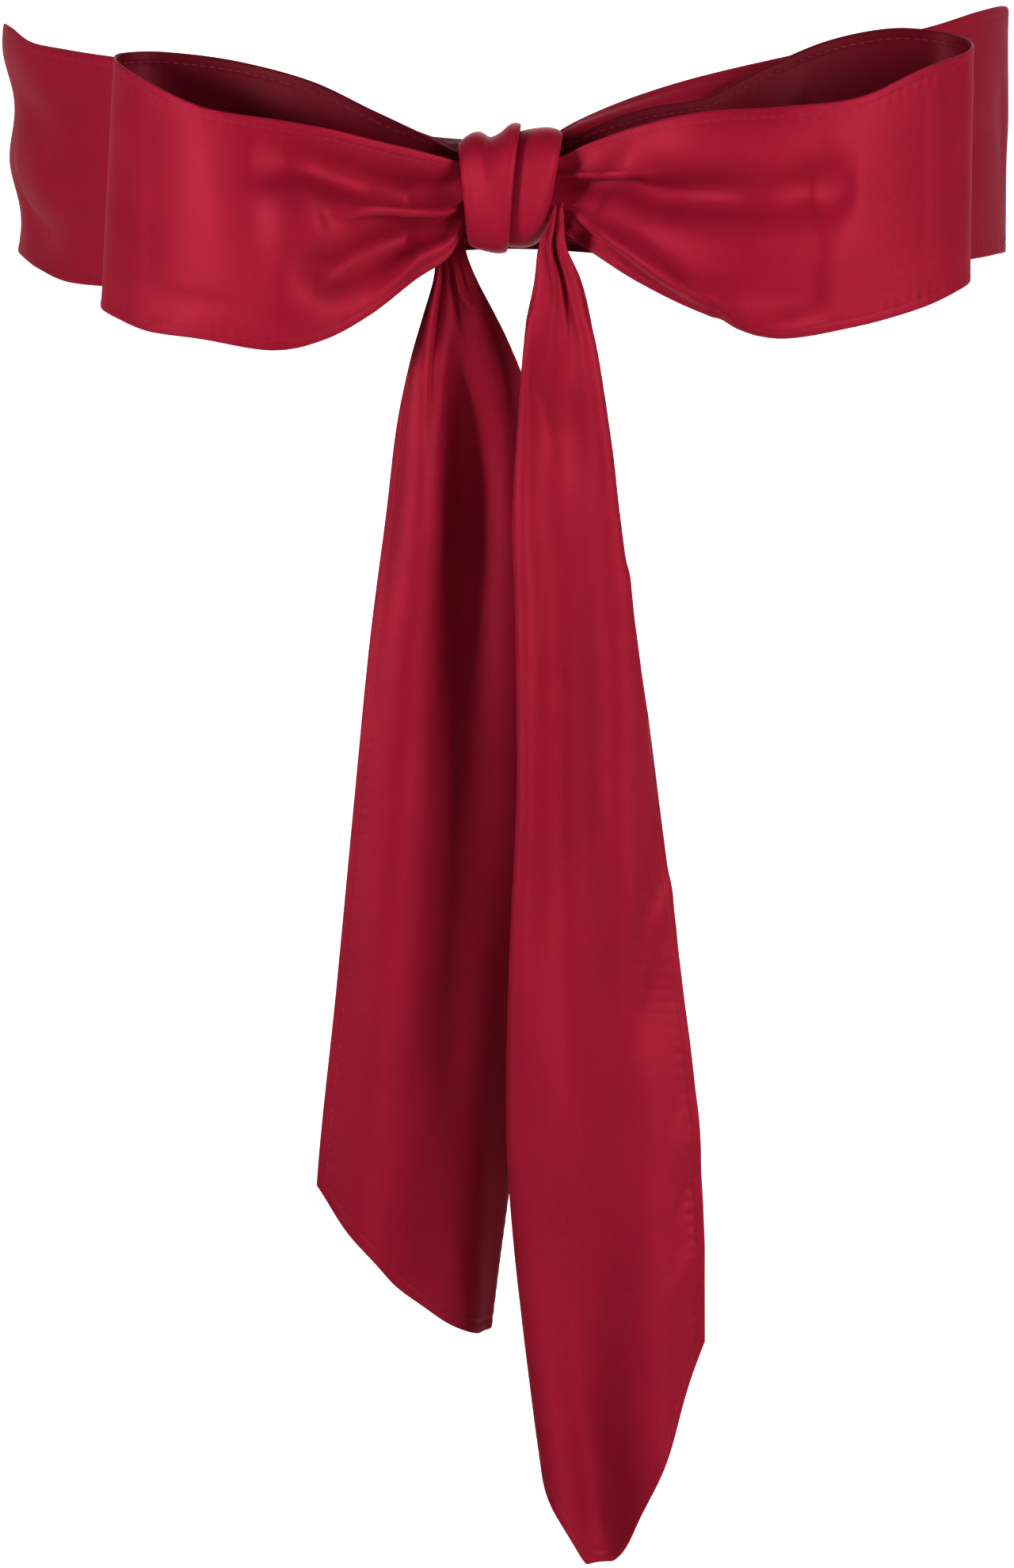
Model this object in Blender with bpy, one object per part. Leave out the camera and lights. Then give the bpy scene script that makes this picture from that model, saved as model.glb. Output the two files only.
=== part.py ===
"""Satin sash, worn round a waist and tied in a bow in front, with two hanging tails.

The sash is one long hemmed strip of satin. Here each stretch that shows is a thin wall of cloth.
Every stretch is a row of sections across the strip. A section is drawn by the cloth's heading
at each step of its own width, so pleats and turned edges keep the cloth's real width.
Sizes are in millimetres until a mesh is made. +Z is up, -Y is the front, X runs to the right.
The origin is the centre of the waist opening.
"""
import math
from collections import namedtuple

import bpy
import numpy as np

MM = 0.001

# Cloth
CLOTH_WIDTH = 80.0
WALL = 1.2
EASE = 0.95
PLEAT_LIMIT = 1.8
TAIL_PLEAT_LIMIT = 0.95
FULL_PLEAT_HEIGHT = 44.0
FRONT_CROWN = 0.34
FRONT_CROWN_AT = 0.78
FRONT_CROWN_REACH = 0.2
FOLD_FADE = 0.07
BEND_REACH = 7.0

# Waist opening
WAIST_HALF_WIDTH = 165.0
WAIST_HALF_DEPTH = 121.5

# Knot
KNOT_X = 0.7
KNOT_Y = -140.4
KNOT_Z = -7.3
CORE_SIZE = (14.8, 20.0, 26.0)

# Tail ends: where the blunt point lies across the cloth, and how far up each side is cut
TIP_WIDTH = 10.0
Cut = namedtuple("Cut", "tip left_slope right_slope bow")
LEFT_CUT = Cut(69.5, 50.0, 16.0, 1.6)
RIGHT_CUT = Cut(36.0, 72.0, 71.0, 1.38)

# How finely each stretch is divided
ACROSS_STEPS = 16
TAIL_ACROSS_STEPS = 14
BAND_ROWS = 46
LOOP_ROWS = 32
TAIL_ROWS = 24
WRAP_ROWS = 22
WRAP_STEPS = 12
FINE_STEPS = 96

SATIN = {
    "satin_band": ((0.23, 0.009, 0.022), 0.42),
    "satin_loops": ((0.31, 0.012, 0.024), 0.40),
    "satin_knot": ((0.33, 0.014, 0.030), 0.40),
    "satin_tails": ((0.29, 0.010, 0.028), 0.40),
}

# Waistband by angle round the waist, from the front towards +X.
# The lean columns move the top and the bottom edge out from the waist.
Round = namedtuple("Round", "angle top low top_lean low_lean")
WAISTBAND = (
    Round(3.5, 6.0, -22.0, 0.0, 0.0),
    Round(8.0, 13.6, -25.0, 0.0, 0.0),
    Round(15.0, 21.5, -30.0, 0.0, 0.0),
    Round(24.0, 28.3, -34.0, 0.0, 0.0),
    Round(38.0, 35.4, -36.0, 0.0, 0.0),
    Round(54.0, 41.0, -35.0, 0.0, 0.5),
    Round(68.0, 46.0, -33.8, 0.0, 0.5),
    Round(82.0, 47.0, -33.5, 0.0, 0.0),
    Round(98.0, 42.0, -36.0, 0.0, -1.0),
    Round(118.0, 31.0, -40.0, 0.0, -1.0),
    Round(140.0, 19.0, -43.0, 0.0, 0.0),
    Round(160.0, 6.0, -42.5, 0.0, 0.0),
    Round(180.0, -2.0, -39.5, 0.0, 0.0),
    Round(200.0, 4.0, -43.0, 0.0, 0.0),
    Round(220.0, 17.0, -44.0, 0.0, -1.0),
    Round(240.0, 25.0, -42.0, 0.0, -1.5),
    Round(256.0, 32.5, -38.0, 0.3, -2.6),
    Round(270.0, 40.5, -34.0, 0.6, -3.4),
    Round(281.0, 40.5, -34.5, 0.3, -3.0),
    Round(291.0, 36.0, -37.5, 0.0, -1.8),
    Round(302.0, 33.8, -41.0, 0.0, -0.5),
    Round(318.0, 30.0, -40.5, 0.0, 0.0),
    Round(334.0, 22.0, -36.0, 0.0, 0.0),
    Round(345.0, 14.5, -32.0, 0.0, 0.0),
    Round(352.0, 8.0, -27.0, 0.0, 0.0),
    Round(356.5, 3.0, -23.0, 0.0, 0.0),
)

# Loops, from the knot along the back layer, round the turn and back along the front layer.
Edge = namedtuple("Edge", "top_x top_y top_z low_x low_y low_z")
LEFT_LOOP = (
    Edge(-7.2, -134.0, 2.5, -7.2, -134.0, -19.5),
    Edge(-15.0, -134.5, 3.6, -14.5, -134.5, -20.5),
    Edge(-26.0, -135.5, 9.5, -26.0, -134.0, -27.0),
    Edge(-42.0, -134.0, 17.0, -42.0, -132.5, -34.0),
    Edge(-61.5, -128.0, 25.9, -61.5, -127.0, -40.0),
    Edge(-85.5, -119.0, 31.9, -85.5, -119.0, -44.5),
    Edge(-107.0, -115.5, 34.5, -108.0, -116.0, -45.0),
    Edge(-119.0, -121.0, 34.5, -122.5, -121.0, -44.9),
    Edge(-122.4, -131.0, 33.4, -127.0, -131.0, -44.9),
    Edge(-118.5, -143.0, 30.3, -121.5, -143.0, -47.4),
    Edge(-108.5, -154.0, 25.0, -111.0, -154.5, -50.8),
    Edge(-93.0, -163.5, 18.7, -94.5, -163.5, -52.6),
    Edge(-72.0, -168.0, 15.3, -72.5, -168.0, -55.8),
    Edge(-55.0, -166.0, 12.3, -56.5, -166.0, -52.7),
    Edge(-40.0, -159.5, 8.4, -42.0, -159.5, -45.2),
    Edge(-27.0, -152.5, 5.0, -28.5, -153.0, -35.0),
    Edge(-17.5, -148.0, 2.2, -18.0, -148.0, -28.0),
    Edge(-12.4, -146.0, 1.0, -12.4, -145.0, -17.6),
    Edge(-7.2, -146.0, 0.5, -7.2, -145.0, -17.5),
)
RIGHT_LOOP = (
    Edge(8.6, -134.0, 4.5, 8.6, -134.0, -17.5),
    Edge(15.0, -134.5, 4.6, 15.0, -134.5, -18.0),
    Edge(27.0, -135.5, 12.0, 27.0, -134.5, -25.0),
    Edge(43.0, -132.0, 17.5, 43.0, -130.5, -31.0),
    Edge(62.0, -126.0, 20.8, 62.0, -125.0, -36.0),
    Edge(80.0, -119.5, 29.5, 80.0, -119.5, -40.0),
    Edge(100.5, -113.0, 37.9, 100.5, -114.0, -40.0),
    Edge(121.0, -109.5, 41.8, 121.0, -110.5, -38.0),
    Edge(137.0, -111.5, 40.6, 137.0, -112.5, -37.0),
    Edge(145.2, -122.0, 37.9, 144.8, -124.0, -36.6),
    Edge(142.5, -137.0, 34.8, 141.5, -138.5, -38.6),
    Edge(128.0, -150.5, 30.0, 128.0, -151.5, -43.9),
    Edge(108.0, -162.0, 21.8, 106.0, -162.5, -49.2),
    Edge(84.0, -168.0, 19.1, 83.0, -168.0, -51.6),
    Edge(60.0, -166.0, 17.4, 60.0, -165.0, -44.4),
    Edge(41.0, -158.5, 13.0, 41.0, -158.0, -35.6),
    Edge(26.0, -149.0, 7.4, 26.0, -148.0, -26.5),
    Edge(16.5, -145.5, 3.0, 15.0, -144.5, -19.0),
    Edge(8.6, -145.5, 1.0, 8.6, -144.5, -16.5),
)

# The main folds of each loop. Start and end run along the loop from the knot's back to its front.
# The places run across the cloth from the top edge. Rise is out of the loop, and a trough is negative.
Fold = namedtuple("Fold", "start end place_at_start place_at_end width rise")
LEFT_LOOP_FOLDS = (
    Fold(0.00, 0.30, 0.30, 0.25, 0.11, 0.8),
    Fold(0.00, 0.34, 0.52, 0.50, 0.09, -1.0),
    Fold(0.00, 0.28, 0.74, 0.78, 0.11, 0.8),
    Fold(0.64, 1.00, 0.18, 0.24, 0.13, 0.8),
    Fold(0.70, 1.00, 0.42, 0.47, 0.08, -1.2),
    Fold(0.66, 1.00, 0.72, 0.70, 0.13, 0.9),
    Fold(0.84, 1.00, 0.92, 0.86, 0.06, -0.6),
)
RIGHT_LOOP_FOLDS = (
    Fold(0.00, 0.30, 0.28, 0.22, 0.12, 0.8),
    Fold(0.00, 0.32, 0.50, 0.46, 0.09, -1.0),
    Fold(0.00, 0.30, 0.72, 0.78, 0.12, 0.8),
    Fold(0.86, 1.00, 0.22, 0.22, 0.08, -1.0),
    Fold(0.66, 1.00, 0.38, 0.40, 0.14, 0.9),
    Fold(0.68, 1.00, 1.00, 0.68, 0.09, -0.9),
    Fold(0.88, 1.00, 0.90, 0.86, 0.08, 0.6),
)

# Tails by height. The turned columns give the cloth turned behind at each side, and the turn
# columns how far that cloth has turned, in degrees. Between two places across the cloth the face
# slopes back towards its right edge by the back column's degrees.
Drop = namedtuple("Drop", "z left right front left_turned right_turned left_turn right_turn back back_from back_to")
LEFT_TAIL = (
    Drop(-18.5, -19.5, -13.5, -130.5, 8.0, 8.0, 0.0, 0.0, 0.0, 30.0, 70.0),
    Drop(-27.0, -22.0, -12.8, -132.0, 8.0, 8.0, 0.0, 10.0, 0.0, 30.0, 70.0),
    Drop(-36.0, -23.0, -9.5, -134.5, 8.0, 8.0, 20.0, 40.0, 2.0, 30.0, 70.0),
    Drop(-48.0, -26.4, -3.5, -137.5, 8.0, 9.0, 50.0, 85.0, 8.0, 28.0, 64.0),
    Drop(-62.0, -30.4, 3.2, -140.5, 8.0, 11.0, 60.0, 98.0, 18.0, 24.0, 58.0),
    Drop(-82.0, -34.6, 10.0, -142.5, 8.0, 11.0, 50.0, 92.0, 28.0, 20.0, 52.0),
    Drop(-110.0, -38.0, 16.0, -143.0, 7.0, 9.0, 20.0, 76.0, 33.0, 17.0, 48.0),
    Drop(-150.0, -43.2, 20.0, -143.0, 6.0, 8.0, 5.0, 60.0, 35.0, 18.0, 48.0),
    Drop(-200.0, -48.2, 20.0, -143.0, 5.0, 8.0, 0.0, 56.0, 35.0, 20.0, 51.0),
    Drop(-260.0, -54.0, 13.0, -143.0, 5.0, 8.0, 0.0, 66.0, 34.0, 24.0, 57.0),
    Drop(-320.0, -60.2, 2.0, -142.5, 5.0, 9.0, 0.0, 96.0, 33.0, 29.0, 65.0),
    Drop(-373.0, -62.5, -5.2, -142.0, 5.0, 9.0, 0.0, 106.0, 30.0, 35.0, 72.0),
)
RIGHT_TAIL = (
    Drop(-12.0, 14.2, 17.4, -152.6, 8.0, 8.0, 0.0, 0.0, 0.0, 44.0, 90.0),
    Drop(-18.0, 12.4, 17.8, -153.6, 8.0, 8.0, 0.0, 0.0, 0.0, 44.0, 90.0),
    Drop(-25.0, 9.6, 18.6, -154.4, 8.0, 8.0, 10.0, 10.0, 0.0, 44.0, 90.0),
    Drop(-36.0, 8.4, 23.2, -155.0, 9.0, 9.0, 40.0, 40.0, 0.0, 44.0, 90.0),
    Drop(-52.0, 5.6, 26.6, -156.0, 14.0, 12.0, 100.0, 90.0, 0.0, 44.0, 90.0),
    Drop(-75.0, 3.8, 30.2, -156.5, 22.0, 16.0, 145.0, 125.0, 0.0, 44.0, 90.0),
    Drop(-105.0, 2.2, 34.4, -156.5, 24.0, 16.0, 160.0, 130.0, 6.0, 44.0, 90.0),
    Drop(-145.0, 2.8, 40.2, -156.5, 22.0, 13.0, 165.0, 110.0, 9.0, 46.0, 90.0),
    Drop(-195.0, 3.2, 47.2, -156.0, 20.0, 8.0, 165.0, 70.0, 11.0, 48.0, 90.0),
    Drop(-250.0, 0.8, 54.6, -155.5, 18.0, 5.0, 165.0, 20.0, 12.0, 48.0, 90.0),
    Drop(-310.0, 0.2, 61.2, -155.0, 15.0, 4.0, 160.0, 0.0, 11.0, 46.0, 90.0),
    Drop(-372.0, 5.8, 62.8, -155.0, 16.0, 4.0, 150.0, 0.0, 8.0, 46.0, 90.0),
    Drop(-443.0, 15.5, 62.0, -155.0, 18.0, 4.0, 110.0, 0.0, 5.0, 46.0, 90.0),
)

# Knot wrap from its left rim to its right rim. The places across it lean from top to bottom.
Girth = namedtuple("Girth", "top_x low_x top low front back")
KNOT_WRAP = (
    Girth(-14.8, -11.6, 5.6, -23.0, -151.6, -126.4),
    Girth(-13.4, -11.0, 8.4, -25.0, -153.6, -125.5),
    Girth(-9.4, -8.6, 10.4, -25.8, -155.2, -125.2),
    Girth(-5.0, -5.4, 8.4, -26.6, -155.6, -125.2),
    Girth(-0.6, -3.4, 11.6, -27.0, -156.8, -125.2),
    Girth(2.8, -1.2, 12.6, -26.8, -157.0, -125.2),
    Girth(4.2, 0.4, 10.8, -26.0, -154.6, -125.2),
    Girth(7.4, 3.4, 11.2, -25.6, -155.4, -125.2),
    Girth(12.4, 8.4, 11.4, -24.4, -155.2, -125.5),
    Girth(15.6, 10.8, 11.0, -22.4, -153.6, -126.4),
    Girth(16.6, 11.6, 9.0, -20.6, -151.8, -126.4),
)


def clear_scene():
    """Start from an empty scene."""
    for item in list(bpy.data.objects):
        bpy.data.objects.remove(item, do_unlink=True)


def satin(name):
    """One plain satin material for a stretch of the sash."""
    colour, roughness = SATIN[name]
    material = bpy.data.materials.new(name)
    material.use_nodes = True
    shader = material.node_tree.nodes["Principled BSDF"]
    shader.inputs["Base Color"].default_value = (*colour, 1.0)
    shader.inputs["Roughness"].default_value = roughness
    shader.inputs["Metallic"].default_value = 0.0
    return material


def through_rows(values, at):
    """Smooth values through a table's column, at places counted in rows."""
    values = np.asarray(values, float)
    last = len(values) - 1
    row = np.clip(np.floor(at).astype(int), 0, last - 1)
    part = at - row
    here = values[row]
    there = values[row + 1]
    before = np.where(row > 0, values[np.maximum(row - 1, 0)], 2.0 * here - there)
    after = np.where(row + 2 <= last, values[np.minimum(row + 2, last)], 2.0 * there - here)
    rise = (there - before) / 2.0
    run = (after - here) / 2.0
    bend = 2.0 * here - 2.0 * there + rise + run
    slope = -3.0 * here + 3.0 * there - 2.0 * rise - run
    return ((bend * part + slope) * part + rise) * part + here


def columns(table, at):
    """Every column of a table, smoothed, at places counted in rows."""
    return {name: through_rows([getattr(row, name) for row in table], at) for name in table[0]._fields}


def even_places(table, centre, count):
    """Places counted in rows that are evenly spaced along the cloth's centre line."""
    fine = np.linspace(0.0, len(table) - 1.0, 40 * len(table))
    line = centre(columns(table, fine))
    steps = np.linalg.norm(np.diff(line, axis=0), axis=1)
    walked = np.concatenate(([0.0], np.cumsum(steps)))
    return np.interp(np.linspace(0.0, walked[-1], count), walked, fine)


def smooth(part):
    """A part from 0 to 1, eased at both ends."""
    part = np.clip(part, 0.0, 1.0)
    return part * part * (3.0 - 2.0 * part)


def section(headings):
    """A section across the cloth as complex numbers: real is across, imaginary is out."""
    step = CLOTH_WIDTH / (headings.shape[1] - 1)
    middle = (headings[:, 1:] + headings[:, :-1]) / 2.0
    walked = np.cumsum(np.exp(1j * middle), axis=1) * step
    return np.concatenate((np.zeros((len(headings), 1)), walked), axis=1)


def pleats(places, waves, start):
    """Headings of even pleats across the cloth."""
    return np.sin(2.0 * math.pi * (waves * places + start))


def folds_across(table, along, places):
    """Headings of a table of folds, each a ridge or a trough that fades in and out."""
    shape = np.zeros((len(along), places.shape[1]))
    for fold in table:
        part = np.clip((along - fold.start) / (fold.end - fold.start), 0.0, 1.0)
        place = fold.place_at_start + (fold.place_at_end - fold.place_at_start) * part
        inside = smooth(np.minimum(along - fold.start, fold.end - along) / FOLD_FADE)
        at_knot = (along <= FOLD_FADE) & (fold.start <= 0.0) | (along >= 1.0 - FOLD_FADE) & (fold.end >= 1.0)
        strength = np.where(at_knot, 1.0, inside) * fold.rise
        across = (places - place[:, None]) / fold.width
        shape += strength[:, None] * across * np.exp(0.5 - across * across)
    return shape


def pleat_limit(height, most):
    """How far pleats may turn: less where the cloth is drawn in narrow, so that no wall meets another."""
    return most * np.clip(height / FULL_PLEAT_HEIGHT, 0.15, 1.0)


def drawn_up(shape, wanted, limit, measure):
    """Scale each row's pleats until its section measures what is wanted."""
    low = np.zeros(len(shape))
    high = limit.copy()
    for _ in range(30):
        middle = (low + high) / 2.0
        wide = measure(middle) > wanted
        low = np.where(wide, middle, low)
        high = np.where(wide, high, middle)
    return (low + high) / 2.0


def between_edges(top, low, along, shape, crown, outward=1.0):
    """Sections that run from the top edge to the low edge and keep the cloth's width."""
    span = low - top
    height = np.linalg.norm(span, axis=1)

    def chord(amount):
        return np.abs(section(amount[:, None] * shape + crown)[:, -1])

    amount = drawn_up(shape, height / EASE, pleat_limit(height, PLEAT_LIMIT), chord)
    curve = section(amount[:, None] * shape + crown)
    curve = curve * (height / curve[:, -1])[:, None]
    across = span / height[:, None]
    out = np.cross(across, along) * outward
    out /= np.linalg.norm(out, axis=1)[:, None]
    return top[:, None] + curve.real[..., None] * across[:, None] + curve.imag[..., None] * out[:, None]


def thin_out(grid, rows, steps):
    """Fewer rows and steps of a fine grid, evenly spread."""
    keep_rows = np.round(np.linspace(0, grid.shape[0] - 1, rows + 1)).astype(int)
    keep_steps = np.round(np.linspace(0, grid.shape[1] - 1, steps + 1)).astype(int)
    return grid[keep_rows][:, keep_steps]


def slope_along(points, closed):
    """Direction from row to row."""
    if closed:
        return np.roll(points, -1, axis=0) - np.roll(points, 1, axis=0)
    return np.gradient(points, axis=0)


def cloth_wall(name, grid, thickness, material, closed=False):
    """One closed wall of cloth about a grid of points, open at its edges only to its own rim."""
    rows, steps = grid.shape[:2]
    normal = np.cross(slope_along(grid, closed), np.gradient(grid, axis=1))
    normal /= np.linalg.norm(normal, axis=2)[..., None]
    outer = grid + normal * thickness / 2.0
    inner = grid - normal * thickness / 2.0
    points = np.concatenate((outer.reshape(-1, 3), inner.reshape(-1, 3))) * MM
    behind = rows * steps
    faces = []
    row_pairs = [(row, (row + 1) % rows) for row in range(rows if closed else rows - 1)]
    for row, following in row_pairs:
        for step in range(steps - 1):
            a, b = row * steps + step, following * steps + step
            faces.append((a, b, b + 1, a + 1))
            faces.append((a + behind, a + 1 + behind, b + 1 + behind, b + behind))
        near, far = row * steps, following * steps
        faces.append((near, near + behind, far + behind, far))
        near, far = near + steps - 1, far + steps - 1
        faces.append((near, far, far + behind, near + behind))
    if not closed:
        final = (rows - 1) * steps
        for step in range(steps - 1):
            faces.append((step, step + 1, step + 1 + behind, step + behind))
            a = final + step
            faces.append((a, a + behind, a + 1 + behind, a + 1))
    mesh = bpy.data.meshes.new(name)
    mesh.from_pydata(points.tolist(), [], faces)
    mesh.validate()
    mesh.shade_smooth()
    mesh.set_sharp_from_angle(angle=math.radians(60.0))
    mesh.materials.append(material)
    item = bpy.data.objects.new(name, mesh)
    bpy.context.scene.collection.objects.link(item)
    return item


def on_waist(angles, z, lean):
    """Points on the waist's oval at a height, moved out by a lean."""
    turn = np.radians(angles)
    out = np.stack((np.sin(turn) / WAIST_HALF_WIDTH, -np.cos(turn) / WAIST_HALF_DEPTH), axis=1)
    out /= np.linalg.norm(out, axis=1)[:, None]
    x = WAIST_HALF_WIDTH * np.sin(turn) + lean * out[:, 0]
    y = -WAIST_HALF_DEPTH * np.cos(turn) + lean * out[:, 1]
    return np.stack((x, y, z), axis=1)


def waistband():
    """The stretch round the waist, pleated where it enters the knot and behind the back."""

    def centre(row):
        return on_waist(row["angle"], (row["top"] + row["low"]) / 2.0, row["top_lean"])

    at = even_places(WAISTBAND, centre, BAND_ROWS * 4 + 1)
    row = columns(WAISTBAND, at)
    top = on_waist(row["angle"], row["top"], row["top_lean"])
    low = on_waist(row["angle"], row["low"], row["low_lean"])
    along = slope_along((top + low) / 2.0, False)
    places = np.linspace(0.0, 1.0, FINE_STEPS + 1)[None, :]
    from_back = np.abs(row["angle"] - 180.0)[:, None]
    behind_back = np.clip((75.0 - from_back) / 40.0, 0.0, 1.0)
    at_knot = np.clip((from_back - 130.0) / 25.0, 0.0, 1.0)
    at_side = 1.0 - behind_back - at_knot
    shape = behind_back * pleats(places, 3.0, 0.6) + at_knot * pleats(places, 3.0, 0.1)
    shape += at_side * pleats(places, 2.0, 0.3)
    grid = between_edges(top, low, along, shape, np.zeros((1, FINE_STEPS + 1)))
    cloth_wall("waist_band", thin_out(grid, BAND_ROWS, ACROSS_STEPS), WALL, satin("satin_band"))


def loop(name, table, folds, outward, material):
    """A bow loop: back layer, turn and front layer as one stretch, pleated into the knot."""

    def edge(row, side):
        return np.stack([row[side + "_x"], row[side + "_y"], row[side + "_z"]], axis=1)

    def centre(row):
        return (edge(row, "top") + edge(row, "low")) / 2.0

    at = even_places(table, centre, LOOP_ROWS * 4 + 1)
    row = columns(table, at)
    top, low = edge(row, "top"), edge(row, "low")
    along = slope_along((top + low) / 2.0, False)
    places = np.linspace(0.0, 1.0, FINE_STEPS + 1)[None, :]
    walked = np.linspace(0.0, 1.0, len(at))
    shape = folds_across(folds, walked, places)
    in_front = np.clip(1.0 - np.abs(walked - FRONT_CROWN_AT) / FRONT_CROWN_REACH, 0.0, 1.0)
    crown = FRONT_CROWN * in_front[:, None] * (1.0 - 2.0 * places)
    grid = between_edges(top, low, along, shape, crown, outward)
    cloth_wall(name, thin_out(grid, LOOP_ROWS, ACROSS_STEPS), WALL, material)


def turned(places, length, turned_cloth, radius, angle):
    """Headings that turn an edge of the cloth behind it, from 1 at the edge to 0 on the face."""
    arc = np.maximum(radius * angle, 2.0)
    part = (places * length - (turned_cloth - arc / 2.0)) / arc
    return angle * (1.0 - smooth(part))


def tail(name, table, waves, start, cut, radii, material):
    """A hanging tail: pleated at the knot, its sides turned behind, cut to a blunt point."""

    def centre(row):
        return np.stack(((row["left"] + row["right"]) / 2.0, row["front"], row["z"]), axis=1)

    at = even_places(table, centre, TAIL_ROWS * 8 + 1)
    row = columns(table, at)
    places = np.linspace(0.0, 1.0, FINE_STEPS + 1)[None, :]
    left_turn = np.radians(row["left_turn"])[:, None]
    right_turn = np.radians(row["right_turn"])[:, None]
    left = turned(places, CLOTH_WIDTH, row["left_turned"][:, None], radii[0], left_turn)
    right = turned(1.0 - places, CLOTH_WIDTH, row["right_turned"][:, None], radii[1], right_turn)
    past_from = np.tanh((places * CLOTH_WIDTH - row["back_from"][:, None]) / BEND_REACH)
    past_to = np.tanh((places * CLOTH_WIDTH - row["back_to"][:, None]) / BEND_REACH)
    back = np.radians(row["back"])[:, None] * (past_from - past_to) / 2.0
    back *= (1.0 - smooth(left)) * (1.0 - smooth(right))
    face = np.clip(1.0 - np.abs(left) - np.abs(right), 0.0, 1.0)
    shape = pleats(places, waves, start) * face
    width = row["right"] - row["left"]

    def visible(amount):
        curve = section(amount[:, None] * shape + left - right - back)
        return np.ptp(curve.real, axis=1)

    amount = drawn_up(shape, width, pleat_limit(width, TAIL_PLEAT_LIMIT), visible)
    curve = section(amount[:, None] * shape + left - right - back)
    curve = curve * (width / np.ptp(curve.real, axis=1))[:, None]
    x = curve.real - curve.real.min(axis=1)[:, None] + row["left"][:, None]
    y = row["front"][:, None] + curve.imag.max(axis=1)[:, None] - curve.imag
    z = np.repeat(row["z"][:, None], x.shape[1], axis=1)
    grid = np.stack((x, y, z), axis=2)
    cloth_wall(name, cut_to_point(grid, cut), WALL, material)


def cut_to_point(grid, cut):
    """Rows of a tail whose last ones follow the blunt point of its end."""
    steps = np.round(np.linspace(0, grid.shape[1] - 1, TAIL_ACROSS_STEPS + 1)).astype(int)
    from_tip = np.linspace(0.0, CLOTH_WIDTH, grid.shape[1])[steps] - cut.tip
    left = np.clip((-from_tip - TIP_WIDTH / 2.0) / (cut.tip - TIP_WIDTH / 2.0), 0.0, 1.0)
    right = np.clip((from_tip - TIP_WIDTH / 2.0) / (CLOTH_WIDTH - cut.tip - TIP_WIDTH / 2.0), 0.0, 1.0)
    short = cut.left_slope * left**cut.bow + cut.right_slope * right**cut.bow
    heights = grid[:, 0, 2]
    length = heights[0] - heights[-1]
    fraction = np.linspace(0.0, 1.0, TAIL_ROWS + 1)
    pull = np.clip((fraction - 0.5) / 0.5, 0.0, 1.0) ** 1.5
    columns_out = []
    for step, shortening in zip(steps, short):
        wanted = fraction * length - pull * shortening
        column = [np.interp(wanted, heights[0] - heights, grid[:, step, axis]) for axis in range(3)]
        columns_out.append(np.stack(column, axis=1))
    return np.stack(columns_out, axis=1)


def knot_wrap():
    """The stretch that passes round the middle of the bow and holds it."""
    at = np.linspace(0.0, len(KNOT_WRAP) - 1.0, WRAP_STEPS + 1)
    girth = columns(KNOT_WRAP, at)
    turn = np.linspace(0.0, 2.0 * math.pi, WRAP_ROWS, endpoint=False)[:, None]
    squareness = 0.72
    out = np.sign(np.cos(turn)) * np.abs(np.cos(turn)) ** squareness
    up = np.sign(np.sin(turn)) * np.abs(np.sin(turn)) ** squareness
    middle_y = (girth["front"] + girth["back"]) / 2.0
    middle_z = (girth["top"] + girth["low"]) / 2.0
    half_depth = (girth["back"] - girth["front"]) / 2.0 - WALL / 2.0
    half_height = (girth["top"] - girth["low"]) / 2.0 - WALL / 2.0
    rise = (up + 1.0) / 2.0
    x = girth["low_x"][None, :] + (girth["top_x"] - girth["low_x"])[None, :] * rise
    y = middle_y[None, :] - out * half_depth[None, :]
    z = middle_z[None, :] + up * half_height[None, :]
    grid = np.stack((x, y, z), axis=2)
    cloth_wall("knot_wrap", grid[::-1], WALL, satin("satin_knot"), closed=True)


def knot_core(material):
    """The hidden layers inside the knot, as one rounded solid."""
    half = [size / 2.0 * MM for size in CORE_SIZE]
    centre = (KNOT_X * MM, KNOT_Y * MM, KNOT_Z * MM)
    corners = [(x, y, z) for x in (-1, 1) for y in (-1, 1) for z in (-1, 1)]
    points = [tuple(sign * size for sign, size in zip(corner, half)) for corner in corners]
    faces = [(0, 1, 3, 2), (4, 6, 7, 5), (0, 4, 5, 1), (2, 3, 7, 6), (0, 2, 6, 4), (1, 5, 7, 3)]
    mesh = bpy.data.meshes.new("knot_core")
    mesh.from_pydata(points, [], faces)
    mesh.materials.append(material)
    item = bpy.data.objects.new("knot_core", mesh)
    item.location = centre
    bpy.context.scene.collection.objects.link(item)
    bevel = item.modifiers.new("rounded edges", "BEVEL")
    bevel.width = 4.0 * MM
    bevel.segments = 3
    for polygon in mesh.polygons:
        polygon.use_smooth = True


def main():
    clear_scene()
    loops_material = satin("satin_loops")
    tails_material = satin("satin_tails")
    waistband()
    loop("loop_left", LEFT_LOOP, LEFT_LOOP_FOLDS, 1.0, loops_material)
    loop("loop_right", RIGHT_LOOP, RIGHT_LOOP_FOLDS, -1.0, loops_material)
    knot_wrap()
    knot_core(loops_material)
    tail("tail_left", LEFT_TAIL, 2.0, 0.1, LEFT_CUT, (4.0, 5.0), tails_material)
    tail("tail_right", RIGHT_TAIL, 2.0, 0.0, RIGHT_CUT, (5.0, 3.5), tails_material)


main()
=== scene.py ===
"""Satin sash: the finished cloth of a sash that is worn and tied in a bow in front.

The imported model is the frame. Each stretch of the sash is made again here as thin satin, with
its double hems, its sewing and its creases, and stands for the plain solid of the same name.
Every stretch is a row of sections across the strip. A section is drawn by the cloth's heading
at each step of its own width, so pleats and turned edges keep the cloth's real width.
Sizes in the tables are in millimetres. +Z is up, -Y is the front, X runs to the right.
"""

import math
from collections import namedtuple

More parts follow.
